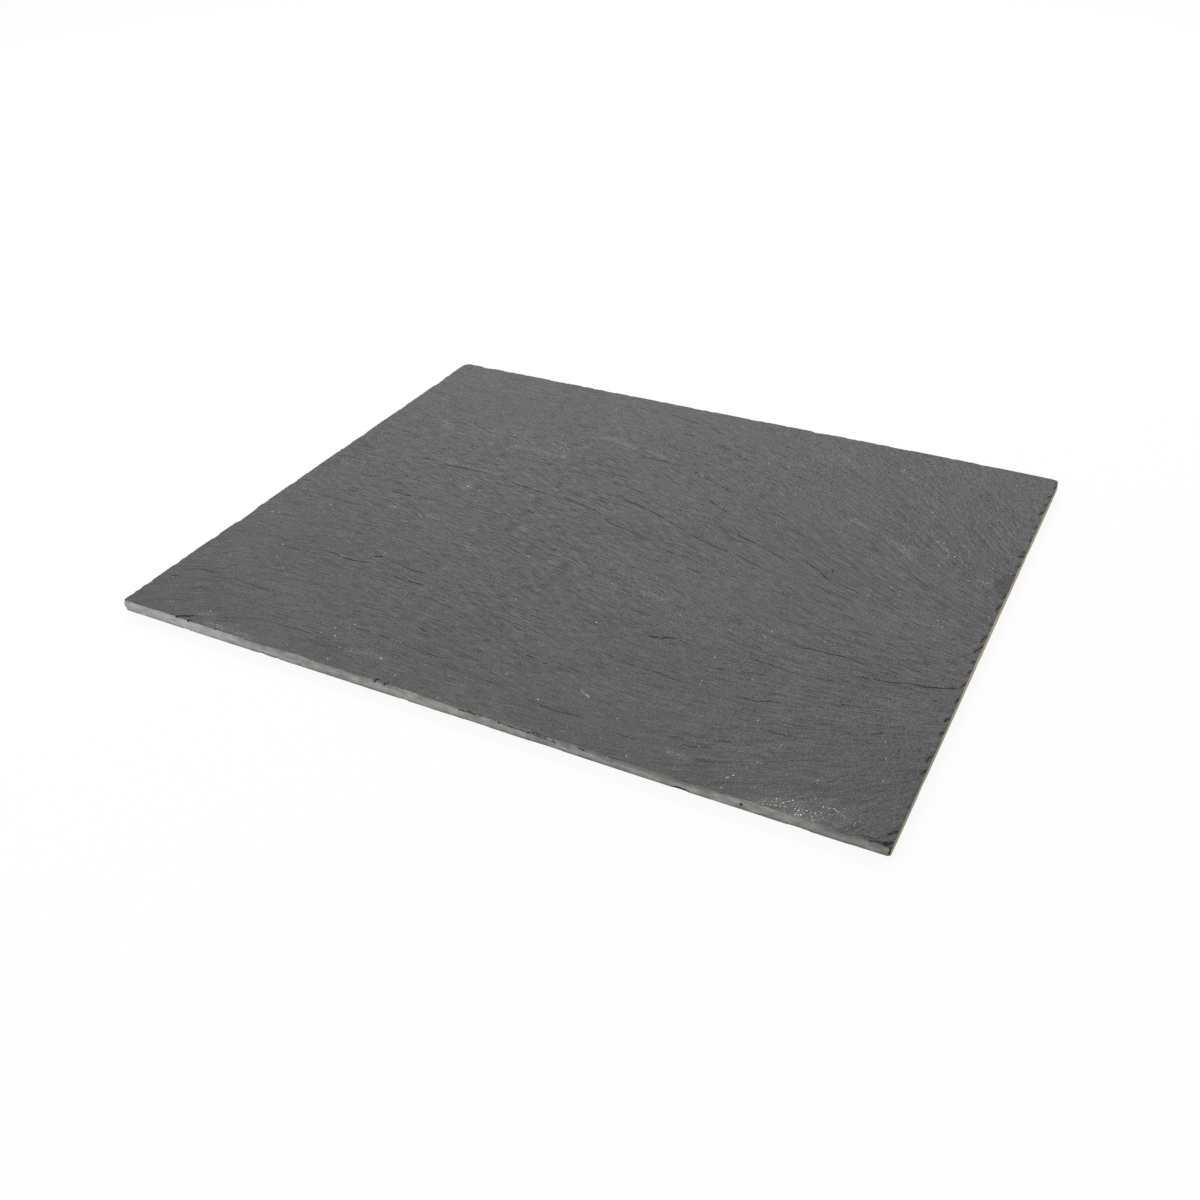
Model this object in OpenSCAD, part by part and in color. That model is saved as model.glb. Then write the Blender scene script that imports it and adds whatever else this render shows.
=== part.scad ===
// Rectangular serving board of riven slate on four stick-on bumper feet.
// Millimetres, +Z up. The origin is the middle of the footprint, on the surface the feet stand on.
// The long side runs along X, the front long edge faces -Y and the right short edge faces +X.

/* [Board] */
// Length of the board, left to right
board_l = 325; // [220:5:460]
// Depth of the board, front to back
board_d = 265; // [180:5:380]
// Thickness of the slate
board_t = 4.5; // [3.5:0.25:9]

/* [Corners] */
// Radius of the front left corner
front_left_r = 1; // [0.5:0.5:6]
// Radius of the front right corner
front_right_r = 1.5; // [0.5:0.5:6]
// Radius of the back right corner
back_right_r = 2; // [0.5:0.5:6]
// Radius of the back left corner
back_left_r = 4; // [0.5:0.5:6]

/* [Flaked edge] */
// How far the upper layers draw in from the sawn edge
flake_set_in = 0.25; // [0.1:0.05:0.8]
// How much further in the edge of the upper layers wanders
flake_wander_w = 0.5; // [0.1:0.05:1]
// Length of the wander's long wave
long_wave_l = 31; // [20:1:60]
// Length of the wander's short wave
short_wave_l = 11; // [8:1:20]
// Spacing of the points that draw the wandering edge
edge_point_gap = 3; // [2:0.5:8]

/* [Chips] */
// Length of the longest chip along the arris
chip_l = 8; // [6:0.5:12]
// How far the deepest chip reaches in from the edge
chip_bite_w = 2.4; // [0.8:0.2:2.6]
// How far the deepest chip reaches down the edge
chip_drop_h = 1.6; // [0.6:0.2:2.4]

/* [Clefts] */
// Length of the longest cleft scar in the split face
cleft_l = 46; // [20:2:60]
// Width of the widest cleft scar
cleft_w = 2.2; // [1:0.2:4]
// Depth of a cleft scar
cleft_deep = 0.3; // [0.1:0.05:0.5]
// Number of fine scars spread over the top face
top_fine_count = 48; // [0:4:96]
// Number of fine scars spread over the underside
under_fine_count = 28; // [0:4:60]
// Length of the longest fine scar
fine_l = 22; // [10:1:24]
// Width of the widest fine scar
fine_w = 1.1; // [0.4:0.1:1.6]
// Depth of a fine scar
fine_deep = 0.15; // [0.05:0.05:0.3]

/* [Feet] */
// Diameter of a bumper foot
foot_dia = 10; // [6:1:16]
// Height of a bumper foot without its adhesive
foot_h = 2; // [1.5:0.25:5]
// Radius of the rounded lower rim of a foot
foot_rim_r = 0.6; // [0.2:0.1:1.2]
// Distance from the board's edges to a foot's centre
foot_inset = 25; // [15:1:60]
// Thickness of the adhesive disc between a foot and the slate
adhesive_t = 0.5; // [0.2:0.1:1]
// How much smaller the adhesive's radius is than the foot's
adhesive_margin = 0.3; // [0.1:0.1:1]

/* [Hidden] */
$fn = 64;

// Overrun of every cut past the face that it starts from
cut_over = 0.5;
// Underside of the slate above the surface that the feet stand on
stand_h = foot_h + adhesive_t;
// Centre of a foot, from the middle of the board
foot_x = board_l / 2 - foot_inset;
foot_y = board_d / 2 - foot_inset;
// Steps that draw one corner's arc
corner_steps = 6;
// Points along one half of a cleft scar's outline
cleft_steps = 8;

// Layers that the edge flakes into, from the underside up: share of the thickness,
// share of the set-in, and share of the wander
layer_shares = [[0.5, 0, 0], [0.3, 0.5, 0.6], [0.2, 1, 1]];

// Sides in order: front, right, back, left. Each is [length, distance across, turn]
SIDES = [[board_l, board_d, 0], [board_d, board_l, 90], [board_l, board_d, 180], [board_d, board_l, 270]];
// Corner radius at the start of each side
CORNER_R = [front_left_r, front_right_r, back_right_r, back_left_r];

// Chips along the top arris of each side: place from the side's middle as a share of half its
// length, then shares of the longest chip, of the deepest bite and of the deepest drop
front_chip_shares = [
    [-0.81, 0.75, 0.50, 0.70], [-0.56, 0.60, 0.25, 0.40], [-0.21, 0.50, 0.20, 0.35],
    [0.02, 0.60, 0.25, 0.50], [0.14, 0.70, 0.30, 0.55], [0.26, 0.55, 0.22, 0.50],
    [0.56, 0.90, 0.25, 0.45], [0.95, 1.00, 0.80, 1.00]
];
right_chip_shares = [
    [-0.955, 0.90, 1.00, 1.00], [-0.845, 0.55, 0.40, 0.50], [-0.71, 0.60, 0.60, 0.55],
    [-0.65, 0.75, 0.65, 0.80], [-0.54, 0.65, 0.45, 0.60], [-0.47, 0.60, 0.70, 0.70],
    [-0.39, 0.60, 0.40, 0.50], [-0.31, 0.65, 0.55, 0.60], [-0.24, 0.50, 0.50, 0.50],
    [-0.19, 0.50, 0.60, 0.60], [-0.12, 0.75, 0.85, 0.80], [-0.055, 0.75, 0.95, 0.70],
    [0.015, 0.55, 0.50, 0.50], [0.115, 0.90, 0.65, 0.60], [0.18, 0.60, 0.45, 0.50],
    [0.31, 0.50, 0.50, 0.50], [0.37, 0.50, 0.60, 0.55], [0.435, 0.60, 0.90, 0.70],
    [0.545, 0.70, 0.35, 0.45], [0.635, 0.60, 0.45, 0.50], [0.74, 0.70, 0.70, 0.75],
    [0.80, 0.65, 0.65, 0.60], [0.865, 0.55, 0.70, 0.65]
];
back_chip_shares = [
    [-0.28, 0.60, 0.30, 0.40], [0.44, 0.55, 0.22, 0.35], [0.83, 0.60, 0.25, 0.40],
    [0.92, 0.60, 0.28, 0.45]
];
left_chip_shares = [
    [-0.27, 0.60, 0.25, 0.40], [0.45, 1.00, 0.25, 0.45], [0.57, 0.50, 0.18, 0.30],
    [0.75, 0.50, 0.22, 0.35], [0.88, 0.50, 0.18, 0.30]
];
TOP_CHIPS = [front_chip_shares, right_chip_shares, back_chip_shares, left_chip_shares];

// Chips along the lower arris of the front and left sides, in the same order of shares
front_under_chip_shares = [
    [-0.79, 0.40, 0.30, 0.40], [-0.53, 0.45, 0.30, 0.40], [-0.14, 0.55, 0.30, 0.35],
    [0.05, 0.80, 0.25, 0.25], [0.23, 0.80, 0.25, 0.25], [0.55, 0.60, 0.30, 0.45]
];
left_under_chip_shares = [[-0.40, 0.60, 0.25, 0.35], [0.30, 0.55, 0.25, 0.35]];
UNDER_CHIPS = [front_under_chip_shares, [], [], left_under_chip_shares];

// Cleft scars in the top face: middle as shares of half the length and half the depth,
// share of the longest scar, share of the widest scar, and the grain's angle
top_cleft_shares = [
    [-0.61, 0.19, 0.95, 0.9, -2], [-0.32, 0.16, 0.55, 0.7, -8], [0.19, 0.12, 1.0, 1.0, -19],
    [0.49, 0.10, 0.95, 1.0, -20], [-0.04, 0.52, 0.8, 0.8, -13], [-0.62, -0.07, 0.5, 0.7, 3],
    [-0.54, -0.44, 0.12, 0.5, 40], [0.30, -0.46, 0.24, 0.6, 12], [0.57, 0.07, 0.2, 0.6, -70],
    [0.84, -0.37, 0.85, 0.8, 11], [0.65, -0.32, 0.5, 0.7, -5], [-0.58, -0.49, 0.35, 0.6, 4],
    [-0.38, -0.53, 0.38, 0.6, -3], [0.08, -0.71, 0.32, 0.6, -8], [-0.31, -0.80, 0.36, 0.6, 0],
    [-0.51, -0.88, 0.56, 0.7, 4], [0.15, 0.33, 0.5, 0.7, -18], [0.03, 0.74, 0.9, 0.7, -18],
    [-0.80, 0.62, 0.6, 0.8, -20], [0.72, 0.55, 0.8, 0.9, -44]
];
// Cleft scars in the underside, between the feet
under_cleft_shares = [
    [-0.38, 0.30, 1.0, 1.0, 6], [0.10, 0.45, 0.8, 0.9, 12], [0.36, -0.22, 1.0, 1.0, 4],
    [-0.20, -0.35, 0.9, 0.8, -6], [0.02, 0.02, 0.7, 0.8, 2], [0.25, 0.10, 0.5, 0.7, 9]
];

// Fine scars are spread evenly: each lies these shares of the spread on from the one before,
// along the length and across the depth, and its size cycles by the third share
fine_step_shares = [0.7549, 0.5698, 0.37];
// Share of the longest fine scar that the shortest one has
least_fine_share = 0.5;
// Share of the half length and half depth that the fine scars cover
fine_spread_share = 0.87;

// Grain angle along the middle line of the board: at its centre, and its change to the right end
grain_mid_angles = [-14, -7];
// Change of the grain angle from the middle line to the back edge: at the centre, and its
// change with the place along the length and with that place squared
grain_fan_angles = [-9, -18, -38];

// Share of the thickness that lies under a layer
function layer_base(i) = i == 0 ? 0 : layer_shares[i - 1][0] + layer_base(i - 1);

// Arc of a corner of radius r, whose corner point is the start of a side, drawn in that side's frame
function corner_arc(side, r, set_in) = [
    for (i = [0:corner_steps])
        let (a = 180 + 90 * i / corner_steps)
        [r + r * cos(a) - SIDES[side][0] / 2 + set_in, r + r * sin(a) - SIDES[side][1] / 2 + set_in]
];

// How far the edge has wandered in at a place along a side, from 0 to 1
function wander(side, s) =
    0.5 + 0.3 * sin(360 * s / long_wave_l + SIDES[side][2])
    + 0.2 * sin(360 * s / short_wave_l + SIDES[side][2] * 3);

// Fades the wander to nothing at the side's two ends
function end_fade(side, s) = cos(180 * s / SIDES[side][0]);

// Wandering stretch of a side between its two corners
function side_run(side, set_in, wave) =
    let (
        from = CORNER_R[side] + set_in + edge_point_gap - SIDES[side][0] / 2,
        to = SIDES[side][0] / 2 - CORNER_R[(side + 1) % 4] - set_in - edge_point_gap,
        steps = round(SIDES[side][0] / edge_point_gap)
    )
    [
        for (i = [0:steps])
            let (s = from + (to - from) * i / steps)
            [s, set_in + wave * wander(side, s) * end_fade(side, s) - SIDES[side][1] / 2]
    ];

// Turns a point of a side's frame to the board's frame
function turned(p, a) = [p[0] * cos(a) - p[1] * sin(a), p[0] * sin(a) + p[1] * cos(a)];

// Outline of a layer: each side's corner and run in turn
function layer_outline(set_in, wave) = [
    for (side = [0:3])
        let (run = wave > 0 ? side_run(side, set_in, wave) : [])
        each [
            for (p = concat(corner_arc(side, CORNER_R[side], set_in), run))
                turned(p, SIDES[side][2])
        ]
];

// Stack of layers, straight at the bottom and more drawn in towards the top
module slate_layers() {
    for (i = [0:len(layer_shares) - 1])
        translate([0, 0, board_t * layer_base(i)])
            linear_extrude(board_t * layer_shares[i][0])
                polygon(layer_outline(
                    flake_set_in * layer_shares[i][1],
                    flake_wander_w * layer_shares[i][2]
                ));
}

// Round bite out of an arris that runs along X through the origin, with the slate at +Y and -Z.
// The ball passes through both ends of the chip, its deepest bite and its deepest drop.
module chip_ball(half_l, bite, drop) {
    out = (half_l * half_l - bite * bite) / (2 * bite);
    up = (half_l * half_l - drop * drop) / (2 * drop);
    translate([0, -out, up]) sphere(r = sqrt(out * out + (up + drop) * (up + drop)));
}

// Chips of all four sides, from a table of shares for each side
module arris_chips(tables) {
    for (side = [0:3])
        rotate([0, 0, SIDES[side][2]])
            for (c = tables[side])
                translate([c[0] * SIDES[side][0] / 2, -SIDES[side][1] / 2, 0])
                    chip_ball(chip_l / 2 * c[1], chip_bite_w * c[2], chip_drop_h * c[3]);
}

// Outline of a scar: a straight lip on one side and a bowed edge on the other
function scar_outline(l, w) = [
    for (i = [0:cleft_steps])
        [l * (i / cleft_steps - 0.5), w * sin(180 * i / cleft_steps)]
];

// One scar, cut down from a face at z = 0
module scar(x, y, angle, l, w, deep) {
    translate([x, y, -deep])
        rotate([0, 0, angle])
            linear_extrude(deep + cut_over)
                polygon(scar_outline(l, w));
}

// The long scars, from a table of shares
module cleft_scars(table) {
    for (c = table)
        scar(c[0] * board_l / 2, c[1] * board_d / 2, c[4], cleft_l * c[2], cleft_w * c[3], cleft_deep);
}

// Angle of the grain, which fans out towards the right: level at the left, and at the right
// falling away at the back and rising at the front. The place is in shares of the half sizes.
function grain_angle(xs, ys) =
    grain_mid_angles[0] + grain_mid_angles[1] * xs
    + (grain_fan_angles[0] + grain_fan_angles[1] * xs + grain_fan_angles[2] * xs * xs) * ys;

// Whether a scar of length l would come close to one of the feet
function near_foot(x, y, l) = norm([abs(x) - foot_x, abs(y) - foot_y]) < (foot_dia + l) / 2;

// Part of a number after its point
function part_of(v) = v - floor(v);

// Short fine scars along the grain, clear of the feet where keep_clear is true
module fine_scars(count, keep_clear) {
    for (i = [1:1:count]) {
        xs = fine_spread_share * (2 * part_of(i * fine_step_shares[0]) - 1);
        ys = fine_spread_share * (2 * part_of(i * fine_step_shares[1]) - 1);
        x = xs * board_l / 2;
        y = ys * board_d / 2;
        size_share = least_fine_share + (1 - least_fine_share) * part_of(i * fine_step_shares[2]);
        if (!(keep_clear && near_foot(x, y, fine_l)))
            scar(x, y, grain_angle(xs, ys), fine_l * size_share, fine_w * size_share, fine_deep);
    }
}

// The slab of slate: layers, less the chips of both arrises and the scars of both faces
module slate_slab() {
    color("#666666")
        translate([0, 0, stand_h])
            difference() {
                slate_layers();
                translate([0, 0, board_t]) arris_chips(TOP_CHIPS);
                mirror([0, 0, 1]) arris_chips(UNDER_CHIPS);
                translate([0, 0, board_t]) cleft_scars(top_cleft_shares);
                mirror([0, 0, 1]) cleft_scars(under_cleft_shares);
                translate([0, 0, board_t]) fine_scars(top_fine_count, false);
                mirror([0, 0, 1]) fine_scars(under_fine_count, true);
            }
}

// Moulded rubber foot with a rounded lower rim, at its corner of the board
module bumper_foot(side_x, side_y) {
    color("#262626")
        translate([side_x * foot_x, side_y * foot_y, 0])
            rotate_extrude() {
                square([foot_dia / 2 - foot_rim_r, foot_h]);
                translate([0, foot_rim_r]) square([foot_dia / 2, foot_h - foot_rim_r]);
                translate([foot_dia / 2 - foot_rim_r, foot_rim_r]) circle(foot_rim_r);
            }
}

// Foam adhesive disc between a foot and the slate
module adhesive_disc(side_x, side_y) {
    color("#d8d5cc")
        translate([side_x * foot_x, side_y * foot_y, foot_h])
            cylinder(h = adhesive_t, r = foot_dia / 2 - adhesive_margin);
}

module front_left_foot() { bumper_foot(-1, -1); }
module front_right_foot() { bumper_foot(1, -1); }
module back_left_foot() { bumper_foot(-1, 1); }
module back_right_foot() { bumper_foot(1, 1); }
module front_left_adhesive() { adhesive_disc(-1, -1); }
module front_right_adhesive() { adhesive_disc(1, -1); }
module back_left_adhesive() { adhesive_disc(-1, 1); }
module back_right_adhesive() { adhesive_disc(1, 1); }

slate_slab();
front_left_foot();
front_right_foot();
back_left_foot();
back_right_foot();
front_left_adhesive();
front_right_adhesive();
back_left_adhesive();
back_right_adhesive();
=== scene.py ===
"""A riven slate serving board on four stick-on rubber feet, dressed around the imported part.

Shapes are worked out in millimetres, in the part's own frame, and turned to metres as each mesh is made.
The board lies along X, its front long edge towards -Y, and the feet stand on z = 0.
"""

import math

import bpy
import numpy as np
from mathutils import Matrix, Vector


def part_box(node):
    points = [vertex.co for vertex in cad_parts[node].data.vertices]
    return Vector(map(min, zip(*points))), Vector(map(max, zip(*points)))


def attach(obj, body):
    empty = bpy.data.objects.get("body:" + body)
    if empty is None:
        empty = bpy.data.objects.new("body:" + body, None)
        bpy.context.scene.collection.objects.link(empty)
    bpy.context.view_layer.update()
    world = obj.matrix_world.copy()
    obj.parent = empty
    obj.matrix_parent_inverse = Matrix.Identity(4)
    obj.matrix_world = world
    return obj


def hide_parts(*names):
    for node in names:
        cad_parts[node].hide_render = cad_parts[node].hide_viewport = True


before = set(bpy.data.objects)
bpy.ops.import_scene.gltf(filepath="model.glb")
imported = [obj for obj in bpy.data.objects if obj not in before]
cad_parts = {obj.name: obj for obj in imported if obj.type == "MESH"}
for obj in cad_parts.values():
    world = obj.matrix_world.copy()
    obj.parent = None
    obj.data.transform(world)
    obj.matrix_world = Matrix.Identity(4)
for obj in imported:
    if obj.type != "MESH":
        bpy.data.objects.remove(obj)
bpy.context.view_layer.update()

MM = 0.001


def box_mm(node):
    """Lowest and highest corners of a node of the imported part, in millimetres."""
    return [np.array(corner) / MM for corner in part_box(node)]


SLAB_LOW, SLAB_HIGH = box_mm("slate_slab")
SLAB_BASE, SLAB_TOP = SLAB_LOW[2], SLAB_HIGH[2]
BOARD_L, BOARD_D, BOARD_T = SLAB_HIGH - SLAB_LOW
HALF_L, HALF_D = BOARD_L / 2, BOARD_D / 2


# Camera, worked out from the board's four corners in the photograph

PHOTO_PX = 1200
FOCAL_PX = 1289.8
SENSOR_MM = 36
SIGHT_END = 50
CAMERA_PLACE = Vector((0.2221, -0.4307, 0.2984))
CAMERA_YAW = math.radians(-28.31)
CAMERA_TILT = math.radians(33.83)
CAMERA_ROLL = math.radians(1.67)


def add_camera():
    """Camera turned by its yaw about the upright, tilted down from level, and rolled about its own axis."""
    ahead = Vector((
        math.sin(CAMERA_YAW) * math.cos(CAMERA_TILT),
        math.cos(CAMERA_YAW) * math.cos(CAMERA_TILT),
        -math.sin(CAMERA_TILT),
    ))
    level = Vector((math.cos(CAMERA_YAW), -math.sin(CAMERA_YAW), 0))
    down = ahead.cross(level)
    right = math.cos(CAMERA_ROLL) * level + math.sin(CAMERA_ROLL) * down
    under = math.cos(CAMERA_ROLL) * down - math.sin(CAMERA_ROLL) * level
    data = bpy.data.cameras.new("camera")
    data.sensor_width = SENSOR_MM
    data.lens = FOCAL_PX * SENSOR_MM / PHOTO_PX
    data.clip_end = SIGHT_END
    camera = bpy.data.objects.new("camera", data)
    turn = Matrix((right, -under, -ahead)).transposed().to_4x4()
    camera.matrix_world = Matrix.Translation(CAMERA_PLACE) @ turn
    bpy.context.collection.objects.link(camera)
    bpy.context.scene.camera = camera


# Colours and nodes

# The middle value of every noise node
NOISE_MEAN = 0.5


def linear(colour):
    """Linear RGBA of an sRGB hex colour.

    A channel c becomes c / 12.92 where it is dark, and ((c + 0.055) / 1.055) to the power 2.4 elsewhere.
    """
    channels = [int(colour[k:k + 2], 16) / 255 for k in (1, 3, 5)]
    return tuple(c / 12.92 if c <= 0.04045 else ((c + 0.055) / 1.055) ** 2.4 for c in channels) + (1.0,)


def add_node(tree, kind, inputs, output=0, **settings):
    """Adds a node with its settings, and fills its inputs with values or links.

    It returns one of the node's outputs, or all of them where output is None.
    """
    node = tree.nodes.new("ShaderNode" + kind)
    for name, value in settings.items():
        setattr(node, name, value)
    for name, value in inputs.items():
        if isinstance(value, bpy.types.NodeSocket):
            tree.links.new(value, node.inputs[name])
        else:
            node.inputs[name].default_value = value
    return node.outputs if output is None else node.outputs[output]


def added(tree, terms, start=0.0):
    """Start plus the sum of each value times its weight."""
    total = start
    for value, weight in terms:
        total = add_node(tree, "Math", {0: value, 1: weight, 2: total}, operation="MULTIPLY_ADD")
    return total


def wavering(tree, terms, start=0.0):
    """Start plus the sum of each noise's departure from its mean, times its weight."""
    return added(tree, terms, start - NOISE_MEAN * sum(weight for _, weight in terms))


def tinted(tree, colour, shade, share, strength=1.0):
    """A colour turned towards an sRGB shade by a share times a strength."""
    weight = added(tree, [(share, strength)])
    return add_node(tree, "Mix", {0: weight, 6: colour, 7: linear(shade)}, 2, data_type="RGBA")


def material_of(finish):
    """A material named for a finish, with the shader that the finish makes in its node tree."""
    material = bpy.data.materials.new(finish.__name__)
    material.use_nodes = True
    material.node_tree.nodes.clear()
    add_node(material.node_tree, "OutputMaterial", {"Surface": finish(material.node_tree)}, None)
    return material


# Floor and light

FLOOR_HALF = 6.0
FLOOR_WHITE = "#f4f4f4"
FLOOR_GLOW_SHARE = 0.93
LIGHT_WHITE = "#ffffff"
DOME_LEVEL = 0.45
KEY_PLACE = Vector((-0.55, 0.95, 1.35))
KEY_SIZE = 0.9
KEY_WATTS = 21
FILL_PLACE = Vector((-0.7, -1.3, 0.7))
FILL_SIZE = 1.0
FILL_WATTS = 8


def seen_directly(tree):
    """1 for rays from the camera and for those that gloss or glass sends on, else 0."""
    path = add_node(tree, "LightPath", {}, None)
    seen = path["Is Camera Ray"]
    for ray in ("Is Glossy Ray", "Is Transmission Ray"):
        seen = add_node(tree, "Math", {0: seen, 1: path[ray]}, operation="MAXIMUM")
    return seen


def pale_floor_paint(tree):
    """Matt pale studio floor. Seen directly it is mostly its own white, and the rest takes the shadow."""
    paint = add_node(tree, "BsdfDiffuse", {"Color": linear(FLOOR_WHITE)})
    glow = add_node(tree, "Emission", {"Color": linear(LIGHT_WHITE), "Strength": 1.0})
    share = added(tree, [(seen_directly(tree), FLOOR_GLOW_SHARE)])
    return add_node(tree, "MixShader", {0: share, 1: paint, 2: glow})


def add_floor():
    """One flat square that the feet stand on."""
    h = FLOOR_HALF
    mesh = bpy.data.meshes.new("floor")
    mesh.from_pydata([(-h, -h, 0), (h, -h, 0), (h, h, 0), (-h, h, 0)], [], [(0, 1, 2, 3)])
    mesh.materials.append(material_of(pale_floor_paint))
    floor = bpy.data.objects.new("floor", mesh)
    bpy.context.collection.objects.link(floor)


def add_lamp(name, place, size, watts):
    """A soft square lamp that faces the middle of the board."""
    data = bpy.data.lights.new(name, "AREA")
    data.size = size
    data.energy = watts
    lamp = bpy.data.objects.new(name, data)
    lamp.location = place
    lamp.rotation_euler = (-place).to_track_quat("-Z", "Y").to_euler()
    bpy.context.collection.objects.link(lamp)


def add_light():
    """An even dome, a soft key lamp behind the board on the left, and a weak fill lamp in front of it."""
    world = bpy.data.worlds.new("studio")
    world.use_nodes = True
    tree = world.node_tree
    tree.nodes.clear()
    dome, white = (
        add_node(tree, "Background", {"Color": linear(LIGHT_WHITE), "Strength": level})
        for level in (DOME_LEVEL, 1.0)
    )
    mixed = add_node(tree, "MixShader", {0: seen_directly(tree), 1: dome, 2: white})
    add_node(tree, "OutputWorld", {"Surface": mixed}, None)
    bpy.context.scene.world = world
    add_lamp("key_lamp", KEY_PLACE, KEY_SIZE, KEY_WATTS)
    add_lamp("fill_lamp", FILL_PLACE, FILL_SIZE, FILL_WATTS)


# Meshes


def add_piece(name, points, face_groups, material, node, attributes, sharp_angle):
    """A mesh piece from points in millimetres and arrays of faces, one for each number of corners."""
    mesh = bpy.data.meshes.new(name)
    corners = np.concatenate([faces.ravel() for faces in face_groups])
    counts = np.concatenate([np.full(len(faces), faces.shape[1]) for faces in face_groups])
    mesh.vertices.add(len(points))
    mesh.vertices.foreach_set("co", (points * MM).ravel())
    mesh.loops.add(len(corners))
    mesh.loops.foreach_set("vertex_index", corners.astype(np.int32))
    mesh.polygons.add(len(counts))
    mesh.polygons.foreach_set("loop_start", (np.cumsum(counts) - counts).astype(np.int32))
    mesh.update(calc_edges=True)
    mesh.validate()
    for label, values in attributes.items():
        layer = mesh.attributes.new(label, "FLOAT_VECTOR", "POINT")
        layer.data.foreach_set("vector", values.astype(np.float32).ravel())
    mesh.shade_smooth()
    mesh.set_sharp_from_angle(angle=math.radians(sharp_angle))
    mesh.materials.append(material)
    piece = bpy.data.objects.new(name, mesh)
    bpy.context.collection.objects.link(piece)
    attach(piece, "root")
    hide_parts(node)


# Noise and the run of the grain

NOISE_TABLE = 256
# What sets the noise of one line width apart from the next
LEVEL_OFFSET = 61
# What each random pattern of the mesh starts from
SEEDS = {
    "grain wave": 11, "dark patch": 17, "top relief": 40, "under relief": 70, "flaked depth": 90,
    "top chips": 300, "under chips": 500, "top outline": 600, "under outline": 700, "wall dents": 800,
}


def smooth_step(low, high, values):
    """0 below low, 1 above high, and 3t squared less 2t cubed between them."""
    t = np.clip((values - low) / (high - low), 0, 1)
    return t * t * (3 - 2 * t)


def lattice_noise(u, v, seed):
    """Noise from -1 to 1: random values at whole u and v, with a smooth step between neighbours."""
    table = np.random.default_rng(seed).uniform(-1, 1, (NOISE_TABLE, NOISE_TABLE))
    i, j = np.floor(u).astype(int), np.floor(v).astype(int)
    a, b = smooth_step(0, 1, u - i), smooth_step(0, 1, v - j)
    i0, i1 = i % NOISE_TABLE, (i + 1) % NOISE_TABLE
    j0, j1 = j % NOISE_TABLE, (j + 1) % NOISE_TABLE
    near = table[i0, j0] * (1 - a) + table[i1, j0] * a
    far = table[i0, j1] * (1 - a) + table[i1, j1] * a
    return near * (1 - b) + far * b


def unit_noise(u, v, seed):
    """The same noise, but from 0 to 1."""
    return 0.5 + 0.5 * lattice_noise(u, v, seed)


# Grain angle in degrees, anticlockwise from +X, in the middle and as it fans out towards the right end
GRAIN_MIDDLE = -17.0
GRAIN_ALONG = -12.5
GRAIN_DEEP = -8.3
GRAIN_BOW = 8.6
GRAIN_DEEP_BOW = 9.3
GRAIN_TWIST = -26.8
GRAIN_FAN = -39.5
GRAIN_STEEPEST = 60
# Share of the half depth past which the angle stays as it is there
GRAIN_EDGE_SHARE = 1.05
# Steps back along the grain to x = 0, and how far, over what length and what width its lines waver
GRAIN_STEPS = 48
GRAIN_WAVE, GRAIN_WAVE_L, GRAIN_WAVE_W = 0.6, 40, 26
# Limits of how crowded the grain lines count as
LEAST_CROWDING, MOST_CROWDING = 0.25, 16


def grain_angle(x, y):
    """Grain angle in radians, with u and v from -1 to 1 across the board.

    It is a plane, bows with u squared and v squared, a twist with u v and a fan with u squared v.
    """
    u = x / HALF_L
    v = np.clip(y / HALF_D, -GRAIN_EDGE_SHARE, GRAIN_EDGE_SHARE)
    degrees = GRAIN_MIDDLE + GRAIN_ALONG * u + GRAIN_DEEP * v
    degrees += GRAIN_BOW * u * u + GRAIN_DEEP_BOW * v * v + GRAIN_TWIST * u * v + GRAIN_FAN * u * u * v
    return np.radians(np.clip(degrees, -GRAIN_STEEPEST, GRAIN_STEEPEST))


def follow_grain(x, y):
    """Distance along the grain from the line x = 0, and where the point's grain line crosses that line.

    Each point is carried back along the grain to x = 0 by equal midpoint steps.
    """
    wave = GRAIN_WAVE * lattice_noise(x / GRAIN_WAVE_L, y / GRAIN_WAVE_W, SEEDS["grain wave"])
    step = -x / GRAIN_STEPS
    run = np.zeros_like(x)
    for _ in range(GRAIN_STEPS):
        slope = np.tan(grain_angle(x, y))
        slope = np.tan(grain_angle(x + step / 2, y + slope * step / 2))
        x = x + step
        y = y + slope * step
        run = run - np.hypot(1, slope) * step
    return run, y + wave


def grain_flow(x, y):
    """Distance along the grain, the grain line's label, and how crowded the labels are, as a power of 2."""
    run, line = follow_grain(x, y)
    turn = grain_angle(x, y)
    beside = follow_grain(x - np.sin(turn), y + np.cos(turn))[1]
    crowding = np.log2(np.clip(np.abs(beside - line), LEAST_CROWDING, MOST_CROWDING))
    return np.stack([run, line, crowding], axis=-1)


def grain_noise(flow, length, width, seed):
    """Noise stretched along the grain. Two sizes a power of 2 apart are blended to keep its width."""
    run, line, crowding = flow.T
    level = np.floor(crowding)
    share = crowding - level
    wide, wider = (
        lattice_noise(run / length, line / width / 2 ** step + LEVEL_OFFSET * step, seed)
        for step in (level, level + 1)
    )
    return (wide * (1 - share) + wider * share) / np.hypot(share, 1 - share)


# Cracks on the top, each with its half width and points (x, y) read off the photograph

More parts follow.
